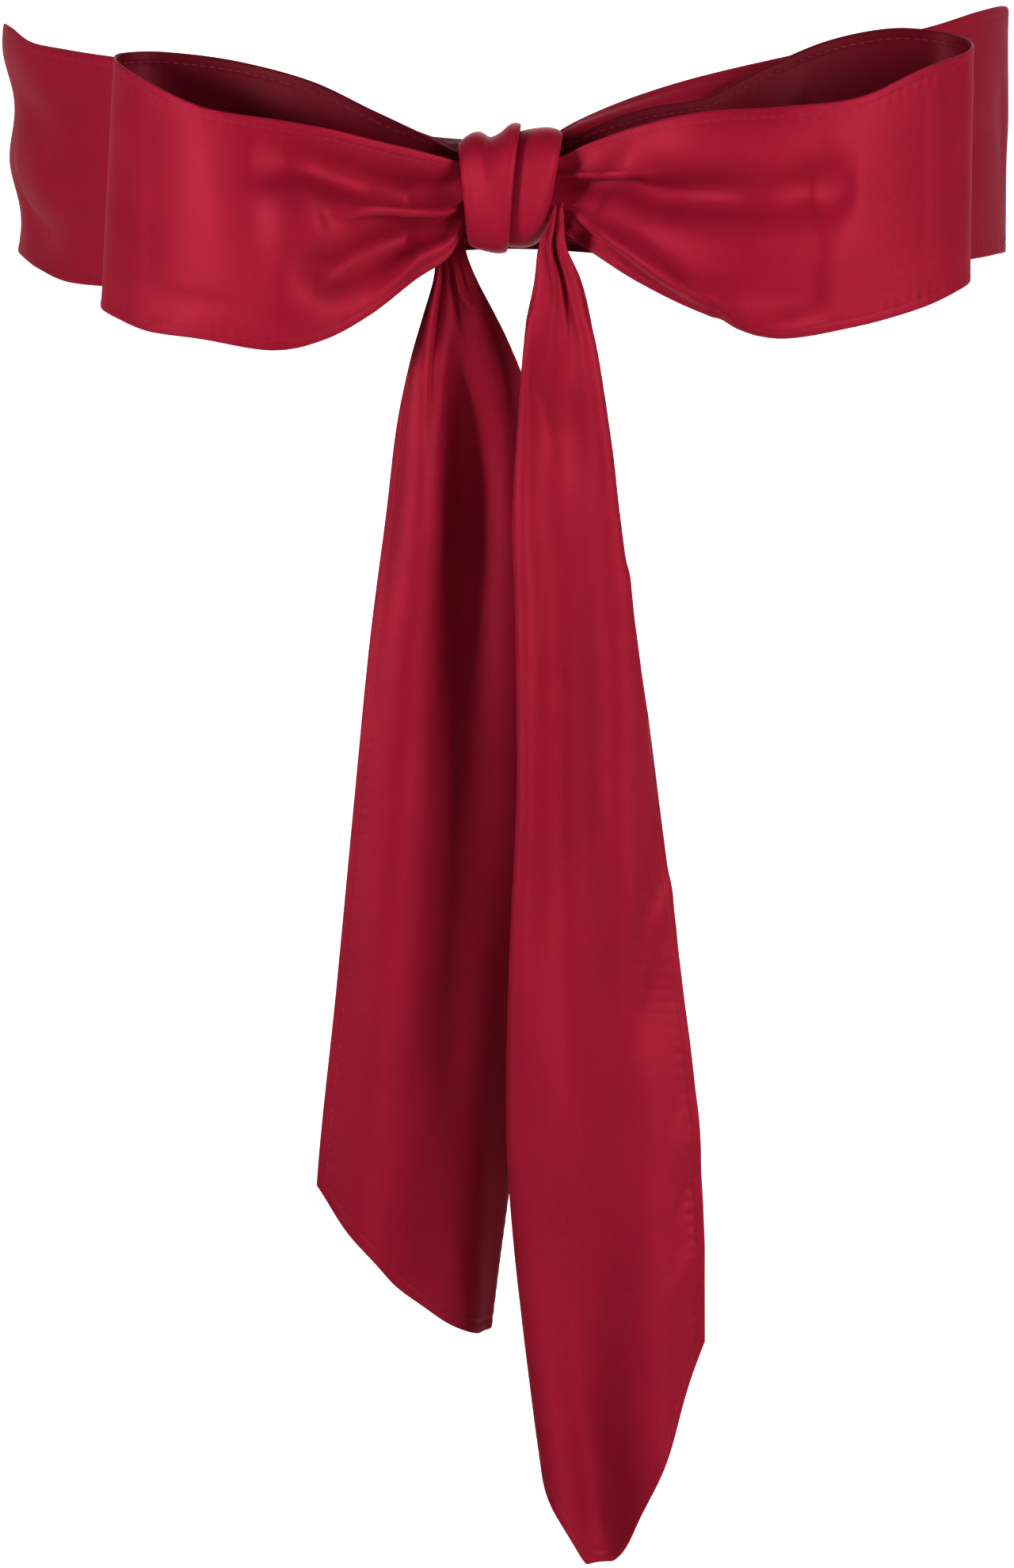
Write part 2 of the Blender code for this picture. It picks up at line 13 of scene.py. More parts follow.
import bpy
import numpy as np
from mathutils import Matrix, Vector


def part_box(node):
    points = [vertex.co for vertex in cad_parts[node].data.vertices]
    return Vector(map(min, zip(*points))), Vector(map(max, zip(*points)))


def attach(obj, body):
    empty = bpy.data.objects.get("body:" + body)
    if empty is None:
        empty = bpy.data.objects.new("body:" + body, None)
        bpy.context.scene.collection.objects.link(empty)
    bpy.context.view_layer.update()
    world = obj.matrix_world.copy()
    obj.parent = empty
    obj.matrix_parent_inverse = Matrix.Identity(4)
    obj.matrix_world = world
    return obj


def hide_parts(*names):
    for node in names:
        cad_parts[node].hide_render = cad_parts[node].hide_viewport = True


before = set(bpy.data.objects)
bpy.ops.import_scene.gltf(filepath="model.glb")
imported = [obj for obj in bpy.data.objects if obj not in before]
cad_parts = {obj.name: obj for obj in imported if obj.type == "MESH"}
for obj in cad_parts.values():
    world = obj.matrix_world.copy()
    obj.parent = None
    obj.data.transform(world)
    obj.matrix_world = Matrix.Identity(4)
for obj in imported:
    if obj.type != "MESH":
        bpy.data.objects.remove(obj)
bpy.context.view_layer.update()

bl_info = {
    "name": "Satin Sash",
    "version": (1, 0, 0),
    "blender": (4, 5, 0),
    "location": "View3D > Sidebar > Sash",
    "description": "A hemmed satin sash, worn round the waist and tied in a bow with two tails",
    "category": "Add Mesh",
}

MM = 0.001

# Cloth
CLOTH_WIDTH = 80.0
EASE = 0.95
PLEAT_LIMIT = 1.8
TAIL_PLEAT_LIMIT = 0.95
FULL_PLEAT_HEIGHT = 44.0
FRONT_CROWN = 0.34
FRONT_CROWN_AT = 0.78
FRONT_CROWN_REACH = 0.2
FOLD_FADE = 0.07
BEND_REACH = 7.0

# Waist opening
WAIST_HALF_WIDTH = 165.0
WAIST_HALF_DEPTH = 121.5

# How finely each stretch is divided
HEM_ZONE = 5.4
HEM_STEPS = 10
BAND_ROWS = 620
LOOP_ROWS = 300
LEFT_TAIL_ROWS = 360
RIGHT_TAIL_ROWS = 420
END_ROWS = 16
WRAP_ROWS = 170

# Waistband by angle round the waist, from the front towards +X.
# The lean columns move the top and the bottom edge out from the waist.
Round = namedtuple("Round", "angle top low top_lean low_lean")
WAISTBAND = (
    Round(3.5, 6.0, -22.0, 0.0, 0.0),
    Round(8.0, 13.6, -25.0, 0.0, 0.0),
    Round(15.0, 21.5, -30.0, 0.0, 0.0),
    Round(24.0, 28.3, -34.0, 0.0, 0.0),
    Round(38.0, 35.4, -36.0, 0.0, 0.0),
    Round(54.0, 41.0, -35.0, 0.0, 0.5),
    Round(68.0, 46.0, -33.8, 0.0, 0.5),
    Round(82.0, 47.0, -33.5, 0.0, 0.0),
    Round(98.0, 42.0, -36.0, 0.0, -1.0),
    Round(118.0, 31.0, -40.0, 0.0, -1.0),
    Round(140.0, 19.0, -43.0, 0.0, 0.0),
    Round(160.0, 6.0, -42.5, 0.0, 0.0),
    Round(180.0, -2.0, -39.5, 0.0, 0.0),
    Round(200.0, 4.0, -43.0, 0.0, 0.0),
    Round(220.0, 17.0, -44.0, 0.0, -1.0),
    Round(240.0, 25.0, -42.0, 0.0, -1.5),
    Round(256.0, 32.5, -38.0, 0.3, -2.6),
    Round(270.0, 40.5, -34.0, 0.6, -3.4),
    Round(281.0, 40.5, -34.5, 0.3, -3.0),
    Round(291.0, 36.0, -37.5, 0.0, -1.8),
    Round(302.0, 33.8, -41.0, 0.0, -0.5),
    Round(318.0, 30.0, -40.5, 0.0, 0.0),
    Round(334.0, 22.0, -36.0, 0.0, 0.0),
    Round(345.0, 14.5, -32.0, 0.0, 0.0),
    Round(352.0, 8.0, -27.0, 0.0, 0.0),
    Round(356.5, 3.0, -23.0, 0.0, 0.0),
)

# Loops, from the knot along the back layer, round the turn and back along the front layer.
Edge = namedtuple("Edge", "top_x top_y top_z low_x low_y low_z")
LEFT_LOOP = (
    Edge(-7.2, -134.0, 2.5, -7.2, -134.0, -19.5),
    Edge(-15.0, -134.5, 3.6, -14.5, -134.5, -20.5),
    Edge(-26.0, -135.5, 9.5, -26.0, -134.0, -27.0),
    Edge(-42.0, -134.0, 17.0, -42.0, -132.5, -34.0),
    Edge(-61.5, -128.0, 25.9, -61.5, -127.0, -40.0),
    Edge(-85.5, -119.0, 31.9, -85.5, -119.0, -44.5),
    Edge(-107.0, -115.5, 34.5, -108.0, -116.0, -45.0),
    Edge(-119.0, -121.0, 34.5, -122.5, -121.0, -44.9),
    Edge(-122.4, -131.0, 33.4, -127.0, -131.0, -44.9),
    Edge(-118.5, -143.0, 30.3, -121.5, -143.0, -47.4),
    Edge(-108.5, -154.0, 25.0, -111.0, -154.5, -50.8),
    Edge(-93.0, -163.5, 18.7, -94.5, -163.5, -52.6),
    Edge(-72.0, -168.0, 15.3, -72.5, -168.0, -55.8),
    Edge(-55.0, -166.0, 12.3, -56.5, -166.0, -52.7),
    Edge(-40.0, -159.5, 8.4, -42.0, -159.5, -45.2),
    Edge(-27.0, -152.5, 5.0, -28.5, -153.0, -35.0),
    Edge(-17.5, -148.0, 2.2, -18.0, -148.0, -28.0),
    Edge(-12.4, -146.0, 1.0, -12.4, -145.0, -17.6),
    Edge(-7.2, -146.0, 0.5, -7.2, -145.0, -17.5),
)
RIGHT_LOOP = (
    Edge(8.6, -134.0, 4.5, 8.6, -134.0, -17.5),
    Edge(15.0, -134.5, 4.6, 15.0, -134.5, -18.0),
    Edge(27.0, -135.5, 12.0, 27.0, -134.5, -25.0),
    Edge(43.0, -132.0, 17.5, 43.0, -130.5, -31.0),
    Edge(62.0, -126.0, 20.8, 62.0, -125.0, -36.0),
    Edge(80.0, -119.5, 29.5, 80.0, -119.5, -40.0),
    Edge(100.5, -113.0, 37.9, 100.5, -114.0, -40.0),
    Edge(121.0, -109.5, 41.8, 121.0, -110.5, -38.0),
    Edge(137.0, -111.5, 40.6, 137.0, -112.5, -37.0),
    Edge(145.2, -122.0, 37.9, 144.8, -124.0, -36.6),
    Edge(142.5, -137.0, 34.8, 141.5, -138.5, -38.6),
    Edge(128.0, -150.5, 30.0, 128.0, -151.5, -43.9),
    Edge(108.0, -162.0, 21.8, 106.0, -162.5, -49.2),
    Edge(84.0, -168.0, 19.1, 83.0, -168.0, -51.6),
    Edge(60.0, -166.0, 17.4, 60.0, -165.0, -44.4),
    Edge(41.0, -158.5, 13.0, 41.0, -158.0, -35.6),
    Edge(26.0, -149.0, 7.4, 26.0, -148.0, -26.5),
    Edge(16.5, -145.5, 3.0, 15.0, -144.5, -19.0),
    Edge(8.6, -145.5, 1.0, 8.6, -144.5, -16.5),
)

# The main folds of each loop. Start and end run along the loop from the knot's back to its front.
# The places run across the cloth from the top edge. Rise is out of the loop, and a trough is negative.
Fold = namedtuple("Fold", "start end place_at_start place_at_end width rise")
LEFT_LOOP_FOLDS = (
    Fold(0.00, 0.30, 0.30, 0.25, 0.11, 0.8),
    Fold(0.00, 0.34, 0.52, 0.50, 0.09, -1.0),
    Fold(0.00, 0.28, 0.74, 0.78, 0.11, 0.8),
    Fold(0.70, 1.00, 0.18, 0.26, 0.14, 0.9),
    Fold(0.79, 1.00, 0.40, 0.54, 0.07, -1.5),
    Fold(0.74, 1.00, 0.68, 0.76, 0.12, 0.9),
    Fold(0.84, 1.00, 0.92, 0.86, 0.06, -0.6),
)
RIGHT_LOOP_FOLDS = (
    Fold(0.00, 0.30, 0.28, 0.22, 0.12, 0.8),
    Fold(0.00, 0.32, 0.50, 0.46, 0.09, -1.0),
    Fold(0.00, 0.30, 0.72, 0.78, 0.12, 0.8),
    Fold(0.86, 1.00, 0.22, 0.22, 0.08, -1.0),
    Fold(0.66, 1.00, 0.38, 0.40, 0.14, 0.9),
    Fold(0.68, 1.00, 1.00, 0.68, 0.09, -0.9),
    Fold(0.88, 1.00, 0.90, 0.86, 0.08, 0.6),
)

# Tails by height. The turned columns give the cloth turned behind at each side, and the turn
# columns how far that cloth has turned, in degrees. Between two places across the cloth the face
# slopes back towards its right edge by the back column's degrees.
Drop = namedtuple("Drop", "z left right front left_turned right_turned left_turn right_turn back back_from back_to")
LEFT_TAIL = (
    Drop(-18.5, -19.5, -13.5, -130.5, 8.0, 8.0, 0.0, 0.0, 0.0, 30.0, 70.0),
    Drop(-27.0, -22.0, -12.8, -132.0, 8.0, 8.0, 0.0, 10.0, 0.0, 30.0, 70.0),
    Drop(-36.0, -23.0, -9.5, -134.5, 8.0, 8.0, 20.0, 40.0, 2.0, 30.0, 70.0),
    Drop(-48.0, -26.4, -3.5, -137.5, 8.0, 9.0, 50.0, 85.0, 8.0, 28.0, 64.0),
    Drop(-62.0, -30.4, 3.2, -140.5, 8.0, 11.0, 60.0, 98.0, 18.0, 24.0, 58.0),
    Drop(-82.0, -34.6, 10.0, -142.5, 8.0, 11.0, 50.0, 92.0, 28.0, 20.0, 52.0),
    Drop(-110.0, -38.0, 16.0, -143.0, 7.0, 9.0, 20.0, 76.0, 33.0, 17.0, 48.0),
    Drop(-150.0, -43.2, 20.0, -143.0, 6.0, 8.0, 5.0, 60.0, 35.0, 18.0, 48.0),
    Drop(-200.0, -48.2, 20.0, -143.0, 5.0, 8.0, 0.0, 56.0, 35.0, 20.0, 51.0),
    Drop(-260.0, -54.0, 13.0, -143.0, 5.0, 8.0, 0.0, 66.0, 34.0, 24.0, 57.0),
    Drop(-320.0, -60.2, 2.0, -142.5, 5.0, 9.0, 0.0, 96.0, 33.0, 29.0, 65.0),
    Drop(-373.0, -62.5, -5.2, -142.0, 5.0, 9.0, 0.0, 106.0, 30.0, 35.0, 72.0),
)
RIGHT_TAIL = (
    Drop(-12.0, 14.2, 17.4, -152.6, 8.0, 8.0, 0.0, 0.0, 0.0, 44.0, 90.0),
    Drop(-18.0, 12.4, 17.8, -153.6, 8.0, 8.0, 0.0, 0.0, 0.0, 44.0, 90.0),
    Drop(-25.0, 9.6, 18.6, -154.4, 8.0, 8.0, 10.0, 10.0, 0.0, 44.0, 90.0),
    Drop(-36.0, 8.4, 23.2, -155.0, 9.0, 9.0, 40.0, 40.0, 0.0, 44.0, 90.0),
    Drop(-52.0, 5.6, 26.6, -156.0, 14.0, 12.0, 100.0, 90.0, 0.0, 44.0, 90.0),
    Drop(-75.0, 3.8, 30.2, -156.5, 22.0, 16.0, 145.0, 125.0, 0.0, 44.0, 90.0),
    Drop(-105.0, 2.2, 34.4, -156.5, 24.0, 16.0, 160.0, 130.0, 6.0, 44.0, 90.0),
    Drop(-145.0, 2.8, 40.2, -156.5, 22.0, 13.0, 165.0, 110.0, 9.0, 46.0, 90.0),
    Drop(-195.0, 3.2, 47.2, -156.0, 20.0, 8.0, 165.0, 70.0, 11.0, 48.0, 90.0),
    Drop(-250.0, 0.8, 54.6, -155.5, 18.0, 5.0, 165.0, 20.0, 12.0, 48.0, 90.0),
    Drop(-310.0, 0.2, 61.2, -155.0, 15.0, 4.0, 160.0, 0.0, 11.0, 46.0, 90.0),
    Drop(-372.0, 5.8, 62.8, -155.0, 16.0, 4.0, 150.0, 0.0, 8.0, 46.0, 90.0),
    Drop(-443.0, 15.5, 62.0, -155.0, 18.0, 4.0, 110.0, 0.0, 5.0, 46.0, 90.0),
)

# Tail ends: where the blunt point lies across the cloth, and how far up each side is cut
TIP_WIDTH = 10.0
Cut = namedtuple("Cut", "tip left_slope right_slope bow")
LEFT_CUT = Cut(69.5, 50.0, 16.0, 1.6)
RIGHT_CUT = Cut(36.0, 72.0, 71.0, 1.38)

# Knot wrap across the cloth, from its left edge to its right edge. The places lean from top to bottom.
# Each rim is turned under, and the middle doubles back under the part that lies over it.
Girth = namedtuple("Girth", "top_x low_x top low front back")
KNOT_WRAP = (
    Girth(-6.6, -5.4, 7.4, -24.2, -152.0, -127.0),
    Girth(-11.0, -9.0, 6.6, -23.6, -151.6, -127.0),
    Girth(-13.9, -11.2, 5.9, -22.9, -151.3, -126.9),
    Girth(-15.0, -12.0, 6.0, -23.2, -152.2, -126.3),
    Girth(-14.0, -11.3, 7.6, -24.6, -153.7, -125.6),
    Girth(-11.0, -9.2, 9.8, -25.7, -155.0, -125.2),
    Girth(-8.2, -7.6, 10.2, -26.2, -155.7, -125.0),
    Girth(-5.2, -5.6, 8.6, -26.7, -155.9, -125.0),
    Girth(-2.0, -4.0, 10.0, -27.0, -156.4, -124.9),
    Girth(1.2, -2.4, 12.6, -27.1, -157.2, -124.8),
    Girth(3.4, -0.8, 12.9, -26.9, -157.2, -124.9),
    Girth(4.1, -0.1, 12.2, -26.3, -156.2, -125.4),
    Girth(2.0, -1.6, 11.0, -25.7, -155.0, -126.0),
    Girth(-2.4, -5.2, 9.4, -25.0, -154.2, -126.5),
    Girth(-5.6, -7.4, 8.0, -24.6, -153.8, -127.0),
    Girth(-6.2, -7.8, 7.4, -24.0, -153.2, -127.4),
    Girth(-4.4, -6.2, 7.6, -23.8, -152.8, -127.4),
    Girth(0.2, -2.6, 8.8, -24.4, -153.2, -127.0),
    Girth(5.0, 1.8, 10.6, -25.2, -154.6, -126.0),
    Girth(9.4, 5.8, 11.4, -25.2, -155.7, -125.4),
    Girth(13.0, 8.8, 11.6, -24.2, -155.3, -125.5),
    Girth(16.0, 11.0, 10.8, -22.4, -153.8, -126.0),
    Girth(17.0, 11.9, 9.4, -20.9, -152.2, -126.5),
    Girth(15.6, 10.8, 9.1, -20.8, -151.3, -127.0),
    Girth(12.0, 8.4, 9.6, -21.7, -151.6, -127.0),
    Girth(8.4, 6.0, 9.8, -22.4, -151.9, -127.0),
)

# Listed creases, each a soft ridge, or a trough where the rise is negative.
# A crease runs from one place over a second to a third. The along places are measured from the
# knot, or round the waist from its open end, and the across places from the top or the left edge.
Crease = namedtuple("Crease", "along across by_along by_across to_along to_across width rise")
BAND_CREASES = (
    Crease(268, 12, 278, 34, 284, 66, 7.0, -1.5),
    Crease(302, 8, 312, 40, 330, 72, 9.0, 1.1),
    Crease(560, 6, 566, 30, 560, 58, 5.0, -1.5),
    Crease(572, 52, 590, 64, 620, 62, 5.5, -1.3),
    Crease(596, 10, 604, 34, 600, 52, 9.0, 1.2),
    Crease(690, 34, 700, 64, 756, 63, 6.0, -1.7),
    Crease(708, 30, 722, 48, 764, 48, 8.0, 0.8),
    Crease(180, 14, 196, 38, 186, 66, 8.0, -1.2),
    Crease(216, 10, 230, 44, 246, 70, 10.0, 1.2),
    Crease(340, 60, 370, 48, 408, 52, 6.0, 1.1),
    Crease(380, 26, 412, 34, 450, 28, 6.0, -1.1),
    Crease(440, 62, 480, 52, 512, 56, 6.5, 1.1),
    Crease(-20, 20, 30, 24, 96, 16, 5.0, 1.2),
    Crease(-20, 44, 34, 46, 110, 54, 5.0, -1.2),
    Crease(-20, 64, 26, 62, 80, 70, 4.5, 1.0),
    Crease(920, 20, 850, 24, 780, 16, 5.0, 1.2),
    Crease(920, 42, 846, 46, 776, 54, 5.0, -1.2),
    Crease(920, 62, 860, 62, 800, 68, 4.5, 1.0),
)
LEFT_LOOP_CREASES = (
    Crease(206, 26, 238, 42, 300, 41, 2.6, -1.2),
    Crease(202, -14, 196, 30, 212, 64, 7.0, -1.1),
    Crease(222, -10, 210, 34, 236, 58, 7.0, 1.3),
    Crease(216, 56, 232, 66, 262, 62, 5.5, -1.3),
    Crease(150, 78, 176, 67, 212, 76, 6.0, -0.9),
    Crease(152, 84, 166, 76, 184, 74, 2.6, 0.5),
    Crease(-20, 16, 34, 18, 84, 12, 4.4, 0.9),
    Crease(-20, 36, 30, 38, 78, 32, 4.0, -0.8),
    Crease(-20, 60, 34, 58, 86, 66, 5.0, 0.9),
    Crease(104, -6, 118, 44, 110, 86, 9.0, -0.9),
)
RIGHT_LOOP_CREASES = (
    Crease(340, 18, 298, 14, 258, 19, 4.4, -1.8),
    Crease(340, 28, 300, 24, 268, 28, 4.0, 1.3),
    Crease(340, 62, 292, 64, 262, 68, 3.6, -0.7),
    Crease(282, 50, 258, 66, 250, 92, 3.0, -1.6),
    Crease(272, 60, 246, 72, 204, 62, 5.5, -1.2),
    Crease(256, 84, 234, 77, 204, 74, 4.6, 1.0),
    Crease(176, -14, 168, 28, 170, 74, 5.5, -1.0),
    Crease(-20, 14, 34, 16, 88, 10, 4.4, 0.9),
    Crease(-20, 34, 30, 36, 92, 30, 4.0, -0.9),
    Crease(-20, 60, 34, 56, 90, 64, 5.0, 0.9),
    Crease(112, -6, 126, 40, 116, 86, 9.0, -0.9),
)
LEFT_TAIL_CREASES = (
    Crease(-16, 16, 36, 17, 100, 19, 4.6, -2.6),
    Crease(-14, 5, 44, 8, 130, 6, 3.6, 0.9),
    Crease(-16, 36, 24, 42, 84, 44, 7.0, 1.5),
    Crease(8, 52, 21, 45, 28, 66, 2.2, 0.9),
    Crease(10, 60, 17, 55, 24, 62, 2.0, -0.8),
    Crease(28, 70, 62, 62, 120, 60, 6.0, -1.2),
    Crease(96, 12, 150, 16, 210, 10, 7.0, -0.7),
    Crease(130, 42, 200, 40, 280, 52, 9.0, 0.9),
    Crease(200, 60, 260, 62, 330, 66, 8.0, -0.8),
    Crease(226, 6, 268, 18, 312, 14, 7.0, 0.7),
    Crease(290, 30, 326, 34, 372, 50, 7.0, -0.7),
)
RIGHT_TAIL_CREASES = (
    Crease(-12, 8, 16, 31, 58, 38, 3.4, 1.9),
    Crease(-10, 22, 20, 45, 60, 51, 4.4, -2.6),
    Crease(36, 12, 60, 34, 92, 54, 7.0, -2.2),
    Crease(24, 64, 60, 60, 120, 62, 6.0, 1.0),
    Crease(70, 24, 130, 32, 200, 28, 9.0, 1.0),
    Crease(176, 68, 256, 60, 312, 32, 9.0, -2.4),
    Crease(226, 78, 250, 69, 276, 58, 6.0, -1.4),
    Crease(226, 40, 280, 34, 340, 26, 10.0, 1.4),
    Crease(96, 84, 114, 68, 132, 58, 4.0, 0.6),
    Crease(206, 86, 220, 76, 234, 68, 4.0, 1.0),
    Crease(276, 88, 293, 76, 310, 68, 4.4, 1.3),
    Crease(296, 88, 308, 77, 324, 70, 4.0, -1.1),
    Crease(318, 88, 333, 75, 350, 68, 4.6, 1.1),
    Crease(330, 62, 366, 48, 410, 44, 9.0, 1.0),
    Crease(344, 28, 378, 36, 416, 40, 7.0, -0.9),
)
WRAP_CREASES = (
    Crease(4, 17, 26, 22, 48, 29, 3.6, 1.0),
    Crease(4, 12, 22, 14, 42, 17, 2.6, -0.6),
    Crease(0, 30, 20, 31, 40, 33, 3.0, -0.6),
    Crease(2, 60, 18, 63, 34, 60, 3.4, -0.7),
    Crease(0, 68, 16, 68, 30, 66, 2.4, 0.5),
    Crease(62, 20, 78, 26, 96, 22, 3.2, 0.7),
    Crease(60, 56, 80, 60, 98, 58, 3.2, -0.7),
)


class SashCloth(bpy.types.PropertyGroup):
    """Sizes of the cloth and its hems."""

    thickness: bpy.props.FloatProperty(
        name="Cloth thickness", description="Thickness of one layer of satin", default=0.00045, unit="LENGTH"
    )
    hem_width: bpy.props.FloatProperty(
        name="Hem width", description="Width of the double hem on each edge", default=0.0038, unit="LENGTH"
    )
    hem_thickness: bpy.props.FloatProperty(
        name="Hem thickness", description="What the hem's turned layers add", default=0.00055, unit="LENGTH"
    )
    groove_depth: bpy.props.FloatProperty(
        name="Sewn groove", description="How deep the sewing pulls the satin in", default=0.00022, unit="LENGTH"
    )
    pucker_spacing: bpy.props.FloatProperty(
        name="Pucker spacing", description="Distance between the hem's puckers", default=0.0042, unit="LENGTH"
    )
    pucker_depth: bpy.props.FloatProperty(
        name="Pucker depth", description="How far the hem's puckers rise", default=0.00013, unit="LENGTH"
    )
    ripple_depth: bpy.props.FloatProperty(
        name="Ripple depth", description="Height of the slight ripples all over", default=0.00012, unit="LENGTH"
    )
    crease_strength: bpy.props.FloatProperty(
        name="Crease strength", description="Scales every crease placed by hand", default=1.0, subtype="FACTOR"
    )


class SashSewing(bpy.types.PropertyGroup):
    """Sizes of the stitches along the hems."""

    stitch_length: bpy.props.FloatProperty(
        name="Stitch length", description="Length of one stitch", default=0.0023, unit="LENGTH"
    )
    spacing: bpy.props.FloatProperty(
        name="Stitch spacing", description="From the start of one stitch to the next", default=0.0029, unit="LENGTH"
    )
    thread: bpy.props.FloatProperty(
        name="Thread thickness", description="Diameter of the thread", default=0.00022, unit="LENGTH"
    )


class SashFinish(bpy.types.PropertyGroup):
    """Colours of the satin, its thread and the studio."""

    satin: bpy.props.FloatVectorProperty(
        name="Satin", description="The satin's colour", default=(0.36, 0.007, 0.027), subtype="COLOR"
    )
    satin_shade: bpy.props.FloatVectorProperty(
        name="Satin streaks", description="The darker streaks in it", default=(0.29, 0.004, 0.023), subtype="COLOR"
    )
    thread: bpy.props.FloatVectorProperty(
        name="Thread", description="The sewing thread's colour", default=(0.25, 0.006, 0.020), subtype="COLOR"
    )
    backdrop: bpy.props.FloatVectorProperty(
        name="Backdrop", description="The floor and backdrop's colour", default=(0.9, 0.9, 0.9), subtype="COLOR"
    )
    roughness: bpy.props.FloatProperty(
        name="Satin roughness", description="How soft the satin's shine is", default=0.56, subtype="FACTOR"
    )
    # Painted shade: the satin's back is darkened to this brightness. Only part of this is the back's real dullness;
    # the rest is shade painted inside the loops and on the turned-under cloth.
    wrong_side_shade: bpy.props.FloatProperty(
        name="Wrong side", description="How bright the satin's dull back is beside its face", default=0.32
    )


def through_rows(values, at):
    """Smooth values through a table's column, at places counted in rows."""
    values = np.asarray(values, float)
    last = len(values) - 1
    row = np.clip(np.floor(at).astype(int), 0, last - 1)
    part = at - row
    here = values[row]
    there = values[row + 1]
    before = np.where(row > 0, values[np.maximum(row - 1, 0)], 2.0 * here - there)
    after = np.where(row + 2 <= last, values[np.minimum(row + 2, last)], 2.0 * there - here)
    rise = (there - before) / 2.0
    run = (after - here) / 2.0
    bend = 2.0 * here - 2.0 * there + rise + run
    slope = -3.0 * here + 3.0 * there - 2.0 * rise - run
    return ((bend * part + slope) * part + rise) * part + here


def columns(table, at):
    """Every column of a table, smoothed, at places counted in rows."""
    return {name: through_rows([getattr(row, name) for row in table], at) for name in table[0]._fields}


def even_places(table, centre, count):
    """Places counted in rows that are evenly spaced along the cloth's centre line."""
    fine = np.linspace(0.0, len(table) - 1.0, 40 * len(table))
    line = centre(columns(table, fine))
    steps = np.linalg.norm(np.diff(line, axis=0), axis=1)
    walked = np.concatenate(([0.0], np.cumsum(steps)))
    return np.interp(np.linspace(0.0, walked[-1], count), walked, fine)


def smooth(part):
    """A part from 0 to 1, eased at both ends."""
    part = np.clip(part, 0.0, 1.0)
    return part * part * (3.0 - 2.0 * part)


def across_cloth(middle_steps):
    """Places across the cloth from edge to edge, closer together at the hems."""
    hem = np.linspace(0.0, HEM_ZONE / CLOTH_WIDTH, HEM_STEPS + 1)
    middle = np.linspace(hem[-1], 1.0 - hem[-1], middle_steps + 1)
    return np.concatenate((hem, middle[1:-1], 1.0 - hem[::-1]))


def section(headings, places):
    """A section across the cloth as complex numbers: real is across, imaginary is out."""
    steps = np.diff(places) * CLOTH_WIDTH
    middle = (headings[:, 1:] + headings[:, :-1]) / 2.0
    walked = np.cumsum(np.exp(1j * middle) * steps, axis=1)
    return np.concatenate((np.zeros((len(headings), 1)), walked), axis=1)


def pleats(places, waves, start):
    """Headings of even pleats across the cloth."""
    return np.sin(2.0 * math.pi * (waves * places + start))


def folds_across(table, along, places):
    """Headings of a table of folds, each a ridge or a trough that fades in and out."""
    shape = np.zeros((len(along), len(places)))
    for fold in table:
        part = np.clip((along - fold.start) / (fold.end - fold.start), 0.0, 1.0)
        place = fold.place_at_start + (fold.place_at_end - fold.place_at_start) * part
        inside = smooth(np.minimum(along - fold.start, fold.end - along) / FOLD_FADE)
        at_knot = (along <= FOLD_FADE) & (fold.start <= 0.0) | (along >= 1.0 - FOLD_FADE) & (fold.end >= 1.0)
        strength = np.where(at_knot, 1.0, inside) * fold.rise
        off = (places[None, :] - place[:, None]) / fold.width
        shape += strength[:, None] * off * np.exp(0.5 - off * off)
    return shape


def pleat_limit(height, most):
    """How far pleats may turn: less where the cloth is drawn in narrow, so that no layer meets another."""
    return most * np.clip(height / FULL_PLEAT_HEIGHT, 0.15, 1.0)


def drawn_up(wanted, limit, measure):
    """Scale each row's pleats until its section measures what is wanted."""
    low = np.zeros(len(wanted))
    high = limit.copy()
    for _ in range(30):
        middle = (low + high) / 2.0
        wide = measure(middle) > wanted
        low = np.where(wide, middle, low)
        high = np.where(wide, high, middle)
    return (low + high) / 2.0


def between_edges(top, low, along, shape, crown, places, outward=1.0):
    """Sections that run from the top edge to the low edge and keep the cloth's width."""
    span = low - top
    height = np.linalg.norm(span, axis=1)

    def chord(amount):
        return np.abs(section(amount[:, None] * shape + crown, places)[:, -1])

    amount = drawn_up(height / EASE, pleat_limit(height, PLEAT_LIMIT), chord)
    curve = section(amount[:, None] * shape + crown, places)
    curve = curve * (height / curve[:, -1])[:, None]
    across = span / height[:, None]
    out = np.cross(across, along) * outward
    out /= np.linalg.norm(out, axis=1)[:, None]
    return top[:, None] + curve.real[..., None] * across[:, None] + curve.imag[..., None] * out[:, None]


def slope_along(points, closed=False):
    """Direction from row to row."""
    if closed:
        return np.roll(points, -1, axis=0) - np.roll(points, 1, axis=0)
    return np.gradient(points, axis=0)


def walked_along(points):
    """Distance along the cloth's centre line, row by row."""
    steps = np.linalg.norm(np.diff(points.mean(axis=1), axis=0), axis=1)
    return np.concatenate(([0.0], np.cumsum(steps)))


